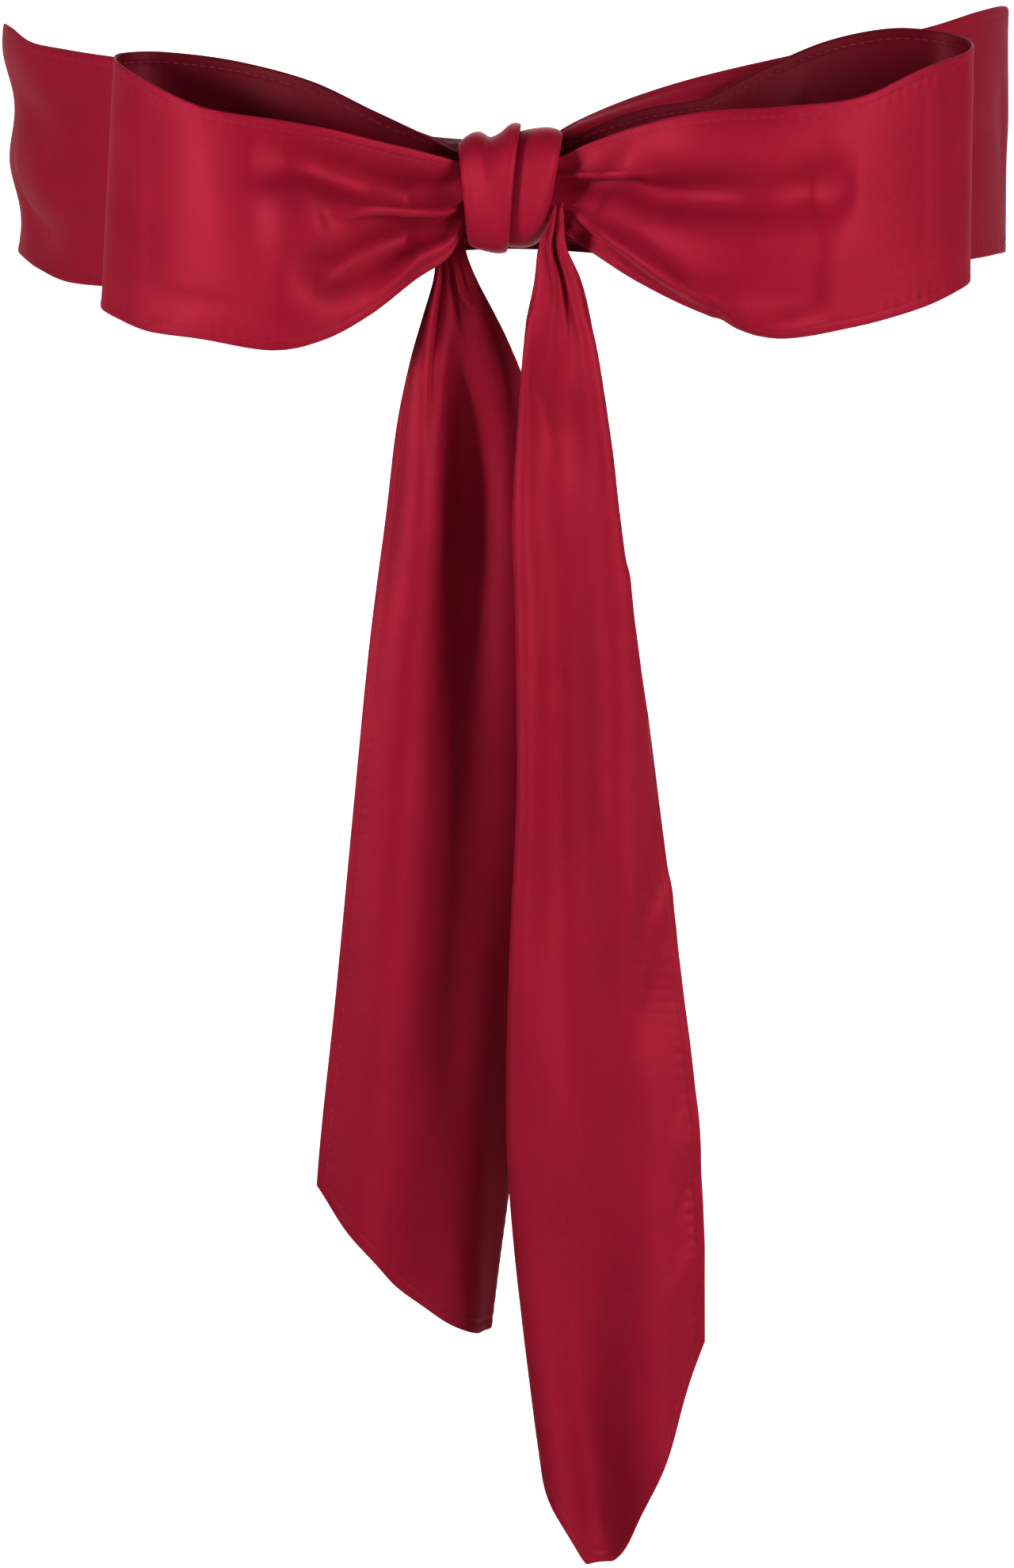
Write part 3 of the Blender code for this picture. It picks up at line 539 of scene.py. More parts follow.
def crease_relief(creases, along, across):
    """Height of the listed creases, each uneven along its length and steeper on one side."""
    height = np.zeros(along.shape)
    part = np.linspace(0.0, 1.0, 41)
    for number, crease in enumerate(creases):
        weights = ((1 - part) * (1 - 2 * part), 4 * part * (1 - part), part * (2 * part - 1))
        line_along = crease.along * weights[0] + crease.by_along * weights[1] + crease.to_along * weights[2]
        line_across = crease.across * weights[0] + crease.by_across * weights[1] + crease.to_across * weights[2]
        reach = 3.0 * crease.width
        near = (along > line_along.min() - reach) & (along < line_along.max() + reach)
        near &= (across > line_across.min() - reach) & (across < line_across.max() + reach)
        if not near.any():
            continue
        off_along = along[near][:, None] - line_along
        off_across = across[near][:, None] - line_across
        distance = np.hypot(off_along, off_across)
        nearest = distance.argmin(axis=1)
        rows = np.arange(len(nearest))
        run_along = np.gradient(line_along)[nearest]
        run_across = np.gradient(line_across)[nearest]
        off = run_along * off_across[rows, nearest] - run_across * off_along[rows, nearest]
        side = np.tanh(1.5 * off / np.hypot(run_along, run_across) / crease.width)
        at = part[nearest]
        uneven = 1.0 + 0.18 * np.sin(7.0 * at + 1.7 * number) + 0.08 * np.sin(17.0 * at + number)
        width = crease.width * uneven * (1.0 + 0.28 * side)
        fade = smooth(2.2 * np.minimum(at, 1.0 - at))
        height[near] += crease.rise * fade * np.exp(-((distance[rows, nearest] / width) ** 2))
    return height


def ripples(along, across, start):
    """Slight ripples all over the cloth, from -1 to 1."""
    height = 0.34 * np.sin(along / 7.1 + across / 11.3 + start)
    height += 0.30 * np.sin(along / 5.3 - across / 8.9 + 2.1 * start + 1.3 * np.sin(along / 31.0))
    height += 0.22 * np.sin(across / 4.7 + along / 19.0 + 0.7 * start)
    height += 0.14 * np.sin(along / 3.1 + across / 23.0 + 1.9 * start + np.sin(across / 13.0))
    return height * (0.6 + 0.4 * np.sin(along / 37.0 + across / 29.0 + start))


Stretch = namedtuple("Stretch", "points along across edge closed start")


def cloth_faces(rows, steps, closed):
    """Faces of a closed thin shell: its face, its back and the rim between them."""
    number = np.arange(rows * steps).reshape(rows, steps)
    if closed:
        number = np.concatenate((number, number[:1]))
    a, b = number[:-1, :-1].ravel(), number[1:, :-1].ravel()
    c, d = number[1:, 1:].ravel(), number[:-1, 1:].ravel()
    behind = rows * steps
    faces = [np.stack((a, b, c, d), axis=1), np.stack((a, d, c, b), axis=1) + behind]
    first, last = number[:, 0], number[:, -1]
    faces.append(np.stack((first[:-1], first[:-1] + behind, first[1:] + behind, first[1:]), axis=1))
    faces.append(np.stack((last[:-1], last[1:], last[1:] + behind, last[:-1] + behind), axis=1))
    if not closed:
        near, far = number[0], number[-1]
        faces.append(np.stack((near[:-1], near[1:], near[1:] + behind, near[:-1] + behind), axis=1))
        faces.append(np.stack((far[:-1], far[:-1] + behind, far[1:] + behind, far[1:]), axis=1))
    return np.concatenate(faces)


def finished_cloth(name, stretch, creases, facing, material):
    """Satin on a stretch: creases, ripples, puckered double hems and a real thickness.

    Facing is a row's part and a direction that tells the satin's face from its back there.
    Returns the piece and its face and back as grids of points, for the sewing.
    """
    cloth = bpy.context.scene.sash_cloth
    points, along, across, edge = stretch.points, stretch.along, stretch.across, stretch.edge
    rows, steps = edge.shape

    def outward(grid):
        normal = np.cross(slope_along(grid, stretch.closed), np.gradient(grid, axis=1))
        return normal / np.linalg.norm(normal, axis=2)[..., None]

    normal = outward(points)
    row, direction = facing
    side = math.copysign(1.0, normal[int(row * (rows - 1))].mean(axis=0) @ np.array(direction))
    hem_width = cloth.hem_width / MM
    relief = crease_relief(creases, along, across) * cloth.crease_strength
    relief += ripples(along, across, stretch.start) * cloth.ripple_depth / MM * smooth(edge / 6.0)
    phase = 2.0 * math.pi * along / (cloth.pucker_spacing / MM) + 0.9 * np.sin(along / 13.0)
    near_hem = np.exp(-(((edge - hem_width - 0.6) / 2.0) ** 2)) * (0.65 + 0.35 * np.sin(along / 23.0))
    relief += np.sin(phase) * near_hem * cloth.pucker_depth / MM
    points = points + normal * (relief * side)[..., None]
    normal = outward(points)
    hem = smooth((hem_width + 0.45 - edge) / 0.9)
    groove = np.exp(-(((edge - hem_width + 0.5) / 0.42) ** 2)) * cloth.groove_depth / MM
    rounded = np.sqrt(np.clip(1.0 - (1.0 - np.clip(edge / 0.7, 0.0, 1.0)) ** 2, 0.08, 1.0))
    half = cloth.thickness / MM / 2.0
    added = cloth.hem_thickness / MM
    face_lift = (half + 0.22 * added * hem - groove) * rounded
    back_lift = (half + 0.78 * added * hem - groove) * rounded
    face = points + normal * (face_lift * side)[..., None]
    back = points - normal * (back_lift * side)[..., None]
    plus, minus = (face, back) if side > 0.0 else (back, face)
    verts = np.concatenate((plus.reshape(-1, 3), minus.reshape(-1, 3))) * MM
    faces = cloth_faces(rows, steps, stretch.closed)
    mesh = bpy.data.meshes.new(name)
    mesh.from_pydata(verts.tolist(), [], faces.tolist())
    mesh.shade_smooth()
    layer = mesh.uv_layers.new(name="cloth")
    flat = np.stack((across, along), axis=2).reshape(-1, 2) / 100.0
    flat = np.concatenate((flat, flat))
    loop_verts = np.empty(len(mesh.loops), dtype=np.int32)
    mesh.loops.foreach_get("vertex_index", loop_verts)
    layer.data.foreach_set("uv", flat[loop_verts].astype(np.float32).ravel())
    # Marks the satin's back, where the material paints shade.
    wrong_side_shade = mesh.attributes.new("wrong_side_shade", "FLOAT", "POINT")
    behind = np.repeat((0.0, 1.0) if side > 0.0 else (1.0, 0.0), rows * steps)
    wrong_side_shade.data.foreach_set("value", behind.astype(np.float32))
    mesh.materials.append(material)
    piece = bpy.data.objects.new(name, mesh)
    bpy.context.scene.collection.objects.link(piece)
    return piece, face, back, normal * side


def on_waist(angles, z, lean):
    """Points on the waist's oval at a height, moved out by a lean."""
    turn = np.radians(angles)
    out = np.stack((np.sin(turn) / WAIST_HALF_WIDTH, -np.cos(turn) / WAIST_HALF_DEPTH), axis=1)
    out /= np.linalg.norm(out, axis=1)[:, None]
    x = WAIST_HALF_WIDTH * np.sin(turn) + lean * out[:, 0]
    y = -WAIST_HALF_DEPTH * np.cos(turn) + lean * out[:, 1]
    return np.stack((x, y, z), axis=1)


def waistband_stretch():
    """The stretch round the waist, pleated where it enters the knot and behind the back."""

    def centre(row):
        return on_waist(row["angle"], (row["top"] + row["low"]) / 2.0, row["top_lean"])

    row = columns(WAISTBAND, even_places(WAISTBAND, centre, BAND_ROWS + 1))
    top = on_waist(row["angle"], row["top"], row["top_lean"])
    low = on_waist(row["angle"], row["low"], row["low_lean"])
    places = across_cloth(56)
    from_back = np.abs(row["angle"] - 180.0)[:, None]
    behind_back = np.clip((75.0 - from_back) / 40.0, 0.0, 1.0)
    at_knot = np.clip((from_back - 130.0) / 25.0, 0.0, 1.0)
    shape = behind_back * pleats(places, 3.0, 0.6) + at_knot * pleats(places, 3.0, 0.1)
    shape += (1.0 - behind_back - at_knot) * pleats(places, 2.0, 0.3)
    grid = between_edges(top, low, slope_along((top + low) / 2.0), shape, 0.0, places)
    return plain_stretch(grid, places, 0.4)


def plain_stretch(grid, places, start, closed=False):
    """A stretch with hems on its two long edges."""
    along = np.repeat(walked_along(grid)[:, None], len(places), axis=1)
    across = np.repeat(places[None, :] * CLOTH_WIDTH, len(grid), axis=0)
    edge = np.minimum(across, CLOTH_WIDTH - across)
    return Stretch(grid, along, across, edge, closed, start)


def loop_stretch(table, folds, outward, start):
    """A bow loop: back layer, turn and front layer as one stretch, pleated into the knot."""

    def edge(row, side):
        return np.stack([row[side + "_x"], row[side + "_y"], row[side + "_z"]], axis=1)

    def centre(row):
        return (edge(row, "top") + edge(row, "low")) / 2.0

    row = columns(table, even_places(table, centre, LOOP_ROWS + 1))
    top, low = edge(row, "top"), edge(row, "low")
    places = across_cloth(70)
    walked = np.linspace(0.0, 1.0, LOOP_ROWS + 1)
    shape = folds_across(folds, walked, places)
    in_front = np.clip(1.0 - np.abs(walked - FRONT_CROWN_AT) / FRONT_CROWN_REACH, 0.0, 1.0)
    crown = FRONT_CROWN * in_front[:, None] * (1.0 - 2.0 * places)
    grid = between_edges(top, low, slope_along((top + low) / 2.0), shape, crown, places, outward)
    return plain_stretch(grid, places, start)


def turned(places, length, turned_cloth, radius, angle):
    """Headings that turn an edge of the cloth behind it, from 1 at the edge to 0 on the face."""
    arc = np.maximum(radius * angle, 2.0)
    part = (places * length - (turned_cloth - arc / 2.0)) / arc
    return angle * (1.0 - smooth(part))


def tail_stretch(table, waves, pleat_start, cut, radii, rows, start):
    """A hanging tail: pleated at the knot, its sides turned behind, cut to a blunt point."""

    def centre(row):
        return np.stack(((row["left"] + row["right"]) / 2.0, row["front"], row["z"]), axis=1)

    row = columns(table, even_places(table, centre, rows + 1))
    places = across_cloth(66)
    left_turn = np.radians(row["left_turn"])[:, None]
    right_turn = np.radians(row["right_turn"])[:, None]
    left = turned(places, CLOTH_WIDTH, row["left_turned"][:, None], radii[0], left_turn)
    right = turned(1.0 - places, CLOTH_WIDTH, row["right_turned"][:, None], radii[1], right_turn)
    across = places * CLOTH_WIDTH
    past_from = np.tanh((across - row["back_from"][:, None]) / BEND_REACH)
    past_to = np.tanh((across - row["back_to"][:, None]) / BEND_REACH)
    back = np.radians(row["back"])[:, None] * (past_from - past_to) / 2.0
    back *= (1.0 - smooth(left)) * (1.0 - smooth(right))
    face = np.clip(1.0 - np.abs(left) - np.abs(right), 0.0, 1.0)
    shape = pleats(places, waves, pleat_start) * face
    width = row["right"] - row["left"]

    def visible(amount):
        return np.ptp(section(amount[:, None] * shape + left - right - back, places).real, axis=1)

    amount = drawn_up(width, pleat_limit(width, TAIL_PLEAT_LIMIT), visible)
    curve = section(amount[:, None] * shape + left - right - back, places)
    curve = curve * (width / np.ptp(curve.real, axis=1))[:, None]
    x = curve.real - curve.real.min(axis=1)[:, None] + row["left"][:, None]
    y = row["front"][:, None] + curve.imag.max(axis=1)[:, None] - curve.imag
    z = np.repeat(row["z"][:, None], len(places), axis=1)
    return cut_to_point(np.stack((x, y, z), axis=2), places, cut, start)


def cut_to_point(grid, places, cut, start):
    """A tail whose last rows follow the blunt point of its end, with a hem along the cut."""
    across = places * CLOTH_WIDTH
    left = np.clip((cut.tip - TIP_WIDTH / 2.0 - across) / (cut.tip - TIP_WIDTH / 2.0), 0.0, 1.0)
    right = np.clip((across - cut.tip - TIP_WIDTH / 2.0) / (CLOTH_WIDTH - cut.tip - TIP_WIDTH / 2.0), 0.0, 1.0)
    short = cut.left_slope * left**cut.bow + cut.right_slope * right**cut.bow
    heights = grid[0, 0, 2] - grid[:, 0, 2]
    length = heights[-1]
    end = np.linspace(1.0 - 6.4 / length, 1.0, END_ROWS + 1)
    fraction = np.concatenate((np.linspace(0.0, end[0], len(grid) - END_ROWS), end[1:]))
    pull = np.clip((fraction - 0.5) / 0.5, 0.0, 1.0) ** 1.5
    wanted = fraction[:, None] * length - pull[:, None] * short[None, :]
    points = np.empty((len(fraction), len(places), 3))
    for step in range(len(places)):
        for axis in range(3):
            points[:, step, axis] = np.interp(wanted[:, step], heights, grid[:, step, axis])
    lean = np.cos(np.arctan(np.gradient(short, across)))
    from_end = (wanted[-1][None, :] - wanted) * lean[None, :]
    wide = np.repeat(across[None, :], len(fraction), axis=0)
    edge = np.minimum(np.minimum(wide, CLOTH_WIDTH - wide), from_end)
    return Stretch(points, wanted, wide, edge, False, start)


def wrap_stretch():
    """The stretch that passes round the middle of the bow, its fold lying over itself in front."""
    fine = np.linspace(0.0, len(KNOT_WRAP) - 1.0, 100)
    girth = columns(KNOT_WRAP, fine)
    steps = np.hypot(np.diff((girth["top_x"] + girth["low_x"]) / 2.0), np.diff(girth["front"]))
    walked = np.concatenate(([0.0], np.cumsum(steps)))
    places = across_cloth(96)
    girth = columns(KNOT_WRAP, np.interp(places * walked[-1], walked, fine))
    turn = np.linspace(0.0, -2.0 * math.pi, WRAP_ROWS, endpoint=False)[:, None] + math.pi / 2.0
    squareness = 0.76
    out = np.sign(np.cos(turn)) * np.abs(np.cos(turn)) ** squareness
    up = np.sign(np.sin(turn)) * np.abs(np.sin(turn)) ** squareness
    middle_y = (girth["front"] + girth["back"]) / 2.0
    middle_z = (girth["top"] + girth["low"]) / 2.0
    rise = (up + 1.0) / 2.0
    x = girth["low_x"] + (girth["top_x"] - girth["low_x"]) * rise
    y = middle_y - out * (girth["back"] - girth["front"]) / 2.0
    z = middle_z + up * (girth["top"] - girth["low"]) / 2.0
    return plain_stretch(np.stack((x, y, z), axis=2), places, 2.3, closed=True)


def satin(name, painted_brightness):
    """Satin: long fine floats along the cloth, faint streaks, and a soft coloured shine. Its colours are scaled by
    a painted brightness: below 1 it is a shaded copy of the one satin, above 1 a lit copy.
    """
    finish = bpy.context.scene.sash_finish
    material = bpy.data.materials.new(name)
    material.use_nodes = True
    nodes, links = material.node_tree.nodes, material.node_tree.links
    shader = nodes["Principled BSDF"]
    place = nodes.new("ShaderNodeUVMap")
    place.uv_map = "cloth"

    def stretched(label, scale, detail):
        mapping = nodes.new("ShaderNodeMapping")
        mapping.label = label
        mapping.inputs["Scale"].default_value = (*scale, 1.0)
        links.new(place.outputs["UV"], mapping.inputs["Vector"])
        noise = nodes.new("ShaderNodeTexNoise")
        noise.label = label
        noise.inputs["Scale"].default_value = 1.0
        noise.inputs["Detail"].default_value = detail
        links.new(mapping.outputs["Vector"], noise.inputs["Vector"])
        return noise.outputs["Fac"]

    def mixed(kind, first, second, amount=0.5):
        node = nodes.new("ShaderNodeMath")
        node.operation = kind
        links.new(first, node.inputs[0])
        if isinstance(second, float):
            node.inputs[1].default_value = second
        else:
            links.new(second, node.inputs[1])
        return node.outputs[0]

    floats = stretched("long floats", (260.0, 18.0), 2.0)
    slubs = stretched("cross slubs", (14.0, 190.0), 2.0)
    patches = stretched("soft patches", (5.0, 2.4), 3.0)
    weave = nodes.new("ShaderNodeTexWave")
    weave.label = "weave"
    weave.bands_direction = "DIAGONAL"
    weave.inputs["Scale"].default_value = 1.0
    weave_size = nodes.new("ShaderNodeMapping")
    weave_size.inputs["Scale"].default_value = (70.0, 70.0, 1.0)
    links.new(place.outputs["UV"], weave_size.inputs["Vector"])
    links.new(weave_size.outputs["Vector"], weave.inputs["Vector"])
    streaks = mixed("ADD", mixed("MULTIPLY", floats, 0.5), mixed("MULTIPLY", slubs, 0.5))
    tint = mixed("ADD", mixed("MULTIPLY", streaks, 0.55), mixed("MULTIPLY", patches, 0.45))
    # Painted light and shade: both colours are scaled by the painted brightness given for this piece's copy of the
    # satin.
    ramp = nodes.new("ShaderNodeValToRGB")
    ramp.color_ramp.elements[0].position = 0.34
    ramp.color_ramp.elements[0].color = (*[painted_brightness * value for value in finish.satin_shade], 1.0)
    ramp.color_ramp.elements[1].position = 0.62
    ramp.color_ramp.elements[1].color = (*[painted_brightness * value for value in finish.satin], 1.0)
    links.new(tint, ramp.inputs["Fac"])
    # Painted shade: the back's colour is darkened to the wrong-side brightness. This is partly the back's real
    # dullness and partly shade painted inside the loops and on the turned-under cloth.
    wrong_side_shade = nodes.new("ShaderNodeAttribute")
    wrong_side_shade.attribute_name = "wrong_side_shade"
    back_darkener = nodes.new("ShaderNodeHueSaturation")
    back_darkening = mixed("MULTIPLY", wrong_side_shade.outputs["Fac"], finish.wrong_side_shade - 1.0)
    links.new(mixed("ADD", back_darkening, 1.0), back_darkener.inputs["Value"])
    links.new(ramp.outputs["Color"], back_darkener.inputs["Color"])
    links.new(back_darkener.outputs["Color"], shader.inputs["Base Color"])
    rough = mixed("ADD", mixed("MULTIPLY", streaks, 0.14), finish.roughness - 0.07)
    links.new(rough, shader.inputs["Roughness"])
    height = mixed("ADD", streaks, mixed("MULTIPLY", weave.outputs["Fac"], 0.35))
    bump = nodes.new("ShaderNodeBump")
    bump.inputs["Strength"].default_value = 0.16
    bump.inputs["Distance"].default_value = 0.0002
    links.new(height, bump.inputs["Height"])
    links.new(bump.outputs["Normal"], shader.inputs["Normal"])
    tangent = nodes.new("ShaderNodeTangent")
    tangent.direction_type = "UV_MAP"
    tangent.uv_map = "cloth"
    links.new(tangent.outputs["Tangent"], shader.inputs["Tangent"])
    shader.inputs["Anisotropic"].default_value = 0.35
    shader.inputs["Metallic"].default_value = 0.25
    shader.inputs["Specular IOR Level"].default_value = 0.17
    shader.inputs["Specular Tint"].default_value = (1.0, 0.55, 0.60, 1.0)
    shader.inputs["Sheen Weight"].default_value = 0.12
    shader.inputs["Sheen Roughness"].default_value = 0.4
    shader.inputs["Sheen Tint"].default_value = (1.0, 0.10, 0.22, 1.0)
    return material


def thread_material():
    """Matte polyester sewing thread with a slight twist along it."""
    finish = bpy.context.scene.sash_finish
    material = bpy.data.materials.new("sewing_thread")
    material.use_nodes = True
    nodes, links = material.node_tree.nodes, material.node_tree.links
    shader = nodes["Principled BSDF"]
    place = nodes.new("ShaderNodeTexCoord")
    twist = nodes.new("ShaderNodeTexNoise")
    twist.inputs["Scale"].default_value = 2600.0
    twist.inputs["Detail"].default_value = 1.0
    links.new(place.outputs["Object"], twist.inputs["Vector"])
    ramp = nodes.new("ShaderNodeValToRGB")
    ramp.color_ramp.elements[0].color = (*[0.7 * value for value in finish.thread], 1.0)
    ramp.color_ramp.elements[1].color = (*finish.thread, 1.0)
    links.new(twist.outputs["Fac"], ramp.inputs["Fac"])
    links.new(ramp.outputs["Color"], shader.inputs["Base Color"])
    shader.inputs["Roughness"].default_value = 0.62
    return material


def made_once(name, make):
    """A material by name, made the first time it is asked for."""
    return bpy.data.materials.get(name) or make()


def place_on(stretch, surface, out, across, along):
    """Points on a stretch's surface, and the directions out of it, at places on the flat cloth."""
    widths = stretch.across[0]
    points, outs = [], []
    for wide, far in zip(across, along):
        step = int(np.clip(np.searchsorted(widths, wide) - 1, 0, len(widths) - 2))
        part = (wide - widths[step]) / (widths[step + 1] - widths[step])
        point, away = np.zeros(3), np.zeros(3)
        for column, share in ((step, 1.0 - part), (step + 1, part)):
            for axis in range(3):
                point[axis] += share * np.interp(far, stretch.along[:, column], surface[:, column, axis])
                away[axis] += share * np.interp(far, stretch.along[:, column], out[:, column, axis])
        points.append(point)
        outs.append(away / np.linalg.norm(away))
    return np.array(points), np.array(outs)


def hem_routes(stretch, inset):
    """The sewing's routes on the flat cloth, as places across and along it."""
    ends = stretch.along[-1]
    widths = stretch.across[0]
    pointed = np.ptp(ends) > 1.0
    routes = []
    for wide in (inset, CLOTH_WIDTH - inset):
        last = np.interp(wide, widths, ends) - (inset * 1.6 if pointed else 0.0)
        far = np.arange(stretch.along[0].min(), last, 1.5)
        routes.append((np.full(len(far), wide), far))
    if pointed:
        wide = np.linspace(inset, CLOTH_WIDTH - inset, 90)
        lean = np.cos(np.arctan(np.gradient(ends, widths)))
        far = np.interp(wide, widths, ends - inset / lean)
        routes.append((wide, far))
    return routes


def stitch_tree():
    """Stitches of thread along the hem lines, each an arc that dips into the cloth at both ends."""
    tree = bpy.data.node_groups.get("Stitches along hem")
    if tree:
        return tree
    tree = bpy.data.node_groups.new("Stitches along hem", "GeometryNodeTree")
    tree.interface.new_socket("Hem lines", in_out="INPUT", socket_type="NodeSocketGeometry")
    for name in ("Spacing", "Stitch length", "Thread thickness"):
        tree.interface.new_socket(name, in_out="INPUT", socket_type="NodeSocketFloat")
    tree.interface.new_socket("Thread", in_out="INPUT", socket_type="NodeSocketMaterial")
    tree.interface.new_socket("Stitches", in_out="OUTPUT", socket_type="NodeSocketGeometry")
    nodes, links = tree.nodes, tree.links
    given = nodes.new("NodeGroupInput")
    lines = nodes.new("GeometryNodeMeshToCurve")
    links.new(given.outputs["Hem lines"], lines.inputs["Mesh"])
    spaced = nodes.new("GeometryNodeResampleCurve")
    spaced.mode = "LENGTH"
    links.new(lines.outputs["Curve"], spaced.inputs["Curve"])
    links.new(given.outputs["Spacing"], spaced.inputs["Length"])
    along = nodes.new("FunctionNodeAlignRotationToVector")
    along.axis = "X"
    links.new(nodes.new("GeometryNodeInputTangent").outputs["Tangent"], along.inputs["Vector"])
    out = nodes.new("GeometryNodeInputNamedAttribute")
    out.data_type = "FLOAT_VECTOR"
    out.inputs["Name"].default_value = "out"
    facing = nodes.new("FunctionNodeAlignRotationToVector")
    facing.axis = "Z"
    facing.pivot_axis = "X"
    links.new(along.outputs["Rotation"], facing.inputs["Rotation"])
    links.new(out.outputs["Attribute"], facing.inputs["Vector"])

    def scaled(source, factor):
        node = nodes.new("ShaderNodeMath")
        node.operation = "MULTIPLY"
        links.new(source, node.inputs[0])
        node.inputs[1].default_value = factor
        return node.outputs[0]

    def spot(x, z):
        node = nodes.new("ShaderNodeCombineXYZ")
        if x:
            links.new(scaled(given.outputs["Stitch length"], x), node.inputs["X"])
        links.new(scaled(given.outputs["Thread thickness"], z), node.inputs["Z"])
        return node.outputs["Vector"]

    arc = nodes.new("GeometryNodeCurveQuadraticBezier")
    arc.inputs["Resolution"].default_value = 5
    links.new(spot(-0.5, -0.7), arc.inputs["Start"])
    links.new(spot(0.0, 1.1), arc.inputs["Middle"])
    links.new(spot(0.5, -0.7), arc.inputs["End"])
    ring = nodes.new("GeometryNodeCurvePrimitiveCircle")
    ring.inputs["Resolution"].default_value = 5
    links.new(scaled(given.outputs["Thread thickness"], 0.5), ring.inputs["Radius"])
    thread = nodes.new("GeometryNodeCurveToMesh")
    thread.inputs["Fill Caps"].default_value = True
    links.new(arc.outputs["Curve"], thread.inputs["Curve"])
    links.new(ring.outputs["Curve"], thread.inputs["Profile Curve"])
    stitches = nodes.new("GeometryNodeInstanceOnPoints")
    links.new(spaced.outputs["Curve"], stitches.inputs["Points"])
    links.new(thread.outputs["Mesh"], stitches.inputs["Instance"])
    links.new(facing.outputs["Rotation"], stitches.inputs["Rotation"])
    real = nodes.new("GeometryNodeRealizeInstances")
    links.new(stitches.outputs["Instances"], real.inputs["Geometry"])
    coloured = nodes.new("GeometryNodeSetMaterial")
    links.new(real.outputs["Geometry"], coloured.inputs["Geometry"])
    links.new(given.outputs["Thread"], coloured.inputs["Material"])
    result = nodes.new("NodeGroupOutput")
    links.new(coloured.outputs["Geometry"], result.inputs["Stitches"])
    return tree


def sewing(name, stretch, face, back, out):
    """The hems' stitches on both sides of a stretch, as one plain mesh."""
    cloth, sizes = bpy.context.scene.sash_cloth, bpy.context.scene.sash_sewing
    inset = cloth.hem_width / MM - 0.5
    verts, outs, edges = [], [], []
    for surface, away in ((face, out), (back, -out)):
        for across, along in hem_routes(stretch, inset):
            line, facing = place_on(stretch, surface, away, across, along)
            first = len(verts)
            verts.extend((line * MM).tolist())
            outs.extend(facing.tolist())
            edges.extend((first + step, first + step + 1) for step in range(len(line) - 1))
    mesh = bpy.data.meshes.new(name)
    mesh.from_pydata(verts, edges, [])
    kept = mesh.attributes.new("out", "FLOAT_VECTOR", "POINT")
    kept.data.foreach_set("vector", np.array(outs, dtype=np.float32).ravel())
    piece = bpy.data.objects.new(name, mesh)
    bpy.context.scene.collection.objects.link(piece)
    modifier = piece.modifiers.new("stitches", "NODES")
    modifier.node_group = stitch_tree()
    values = {
        "Spacing": sizes.spacing,
        "Stitch length": sizes.stitch_length,
        "Thread thickness": sizes.thread,
        "Thread": made_once("sewing_thread", thread_material),
    }
    for socket in modifier.node_group.interface.items_tree:
        if socket.name in values:
            modifier[socket.identifier] = values[socket.name]
    graph = bpy.context.evaluated_depsgraph_get()
    real = bpy.data.meshes.new_from_object(piece.evaluated_get(graph), depsgraph=graph)
    piece.modifiers.clear()
    piece.data = real
    real.name = name
    real.shade_smooth()
    return piece


def dressed(name, stretch, creases, facing, material):
    """A finished stretch with its sewing, in place of the solid of the same name."""
    piece, face, back, out = finished_cloth(name + "_satin", stretch, creases, facing, material)
    stitches = sewing(name + "_stitches", stretch, face, back, out)
    for item in (piece, stitches):
        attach(item, "root")
    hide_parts(name)
    length = float(stretch.along.max()) * MM
    if stretch.closed:
        length += float(np.linalg.norm(stretch.points[0] - stretch.points[-1], axis=1).mean()) * MM
    return piece


class SASH_OT_waistband(bpy.types.Operator):
    """Make the stretch round the waist"""

    bl_idname = "sash.waistband"
    bl_label = "Waistband"

    def execute(self, context):
        # Painted shade: the waistband's copy of the satin is darkened to 0.9.
        material = made_once("band_cloth_shaded", lambda: satin("band_cloth_shaded", 0.9))
        stretch = waistband_stretch()
        facing = (0.5, (0.0, 1.0, 0.0))
        dressed("waist_band", stretch, BAND_CREASES, facing, material)
        return {"FINISHED"}


class SASH_OT_loops(bpy.types.Operator):
    """Make the bow's two loops"""

    bl_idname = "sash.loops"
    bl_label = "Bow loops"

    def execute(self, context):
        material = made_once("loop_cloth", lambda: satin("loop_cloth", 1.0))
        facing = (0.78, (0.0, -1.0, 0.0))
        left = loop_stretch(LEFT_LOOP, LEFT_LOOP_FOLDS, 1.0, 1.1)
        right = loop_stretch(RIGHT_LOOP, RIGHT_LOOP_FOLDS, -1.0, 3.2)
        dressed("loop_left", left, LEFT_LOOP_CREASES, facing, material)
        dressed("loop_right", right, RIGHT_LOOP_CREASES, facing, material)
        return {"FINISHED"}


class SASH_OT_tails(bpy.types.Operator):
    """Make the two hanging tails"""

    bl_idname = "sash.tails"
    bl_label = "Tails"

    def execute(self, context):
        # Painted shade: the tails' copy of the satin is darkened to 0.97.
        material = made_once("tail_cloth_shaded", lambda: satin("tail_cloth_shaded", 0.97))
        facing = (0.5, (0.0, -1.0, 0.0))
        left = tail_stretch(LEFT_TAIL, 2.0, 0.1, LEFT_CUT, (4.0, 5.0), LEFT_TAIL_ROWS, 0.9)
        right = tail_stretch(RIGHT_TAIL, 2.0, 0.0, RIGHT_CUT, (5.0, 3.5), RIGHT_TAIL_ROWS, 2.6)
        for name, stretch, creases in (
            ("tail_left", left, LEFT_TAIL_CREASES),
            ("tail_right", right, RIGHT_TAIL_CREASES),
        ):
            dressed(name, stretch, creases, facing, material)
        return {"FINISHED"}


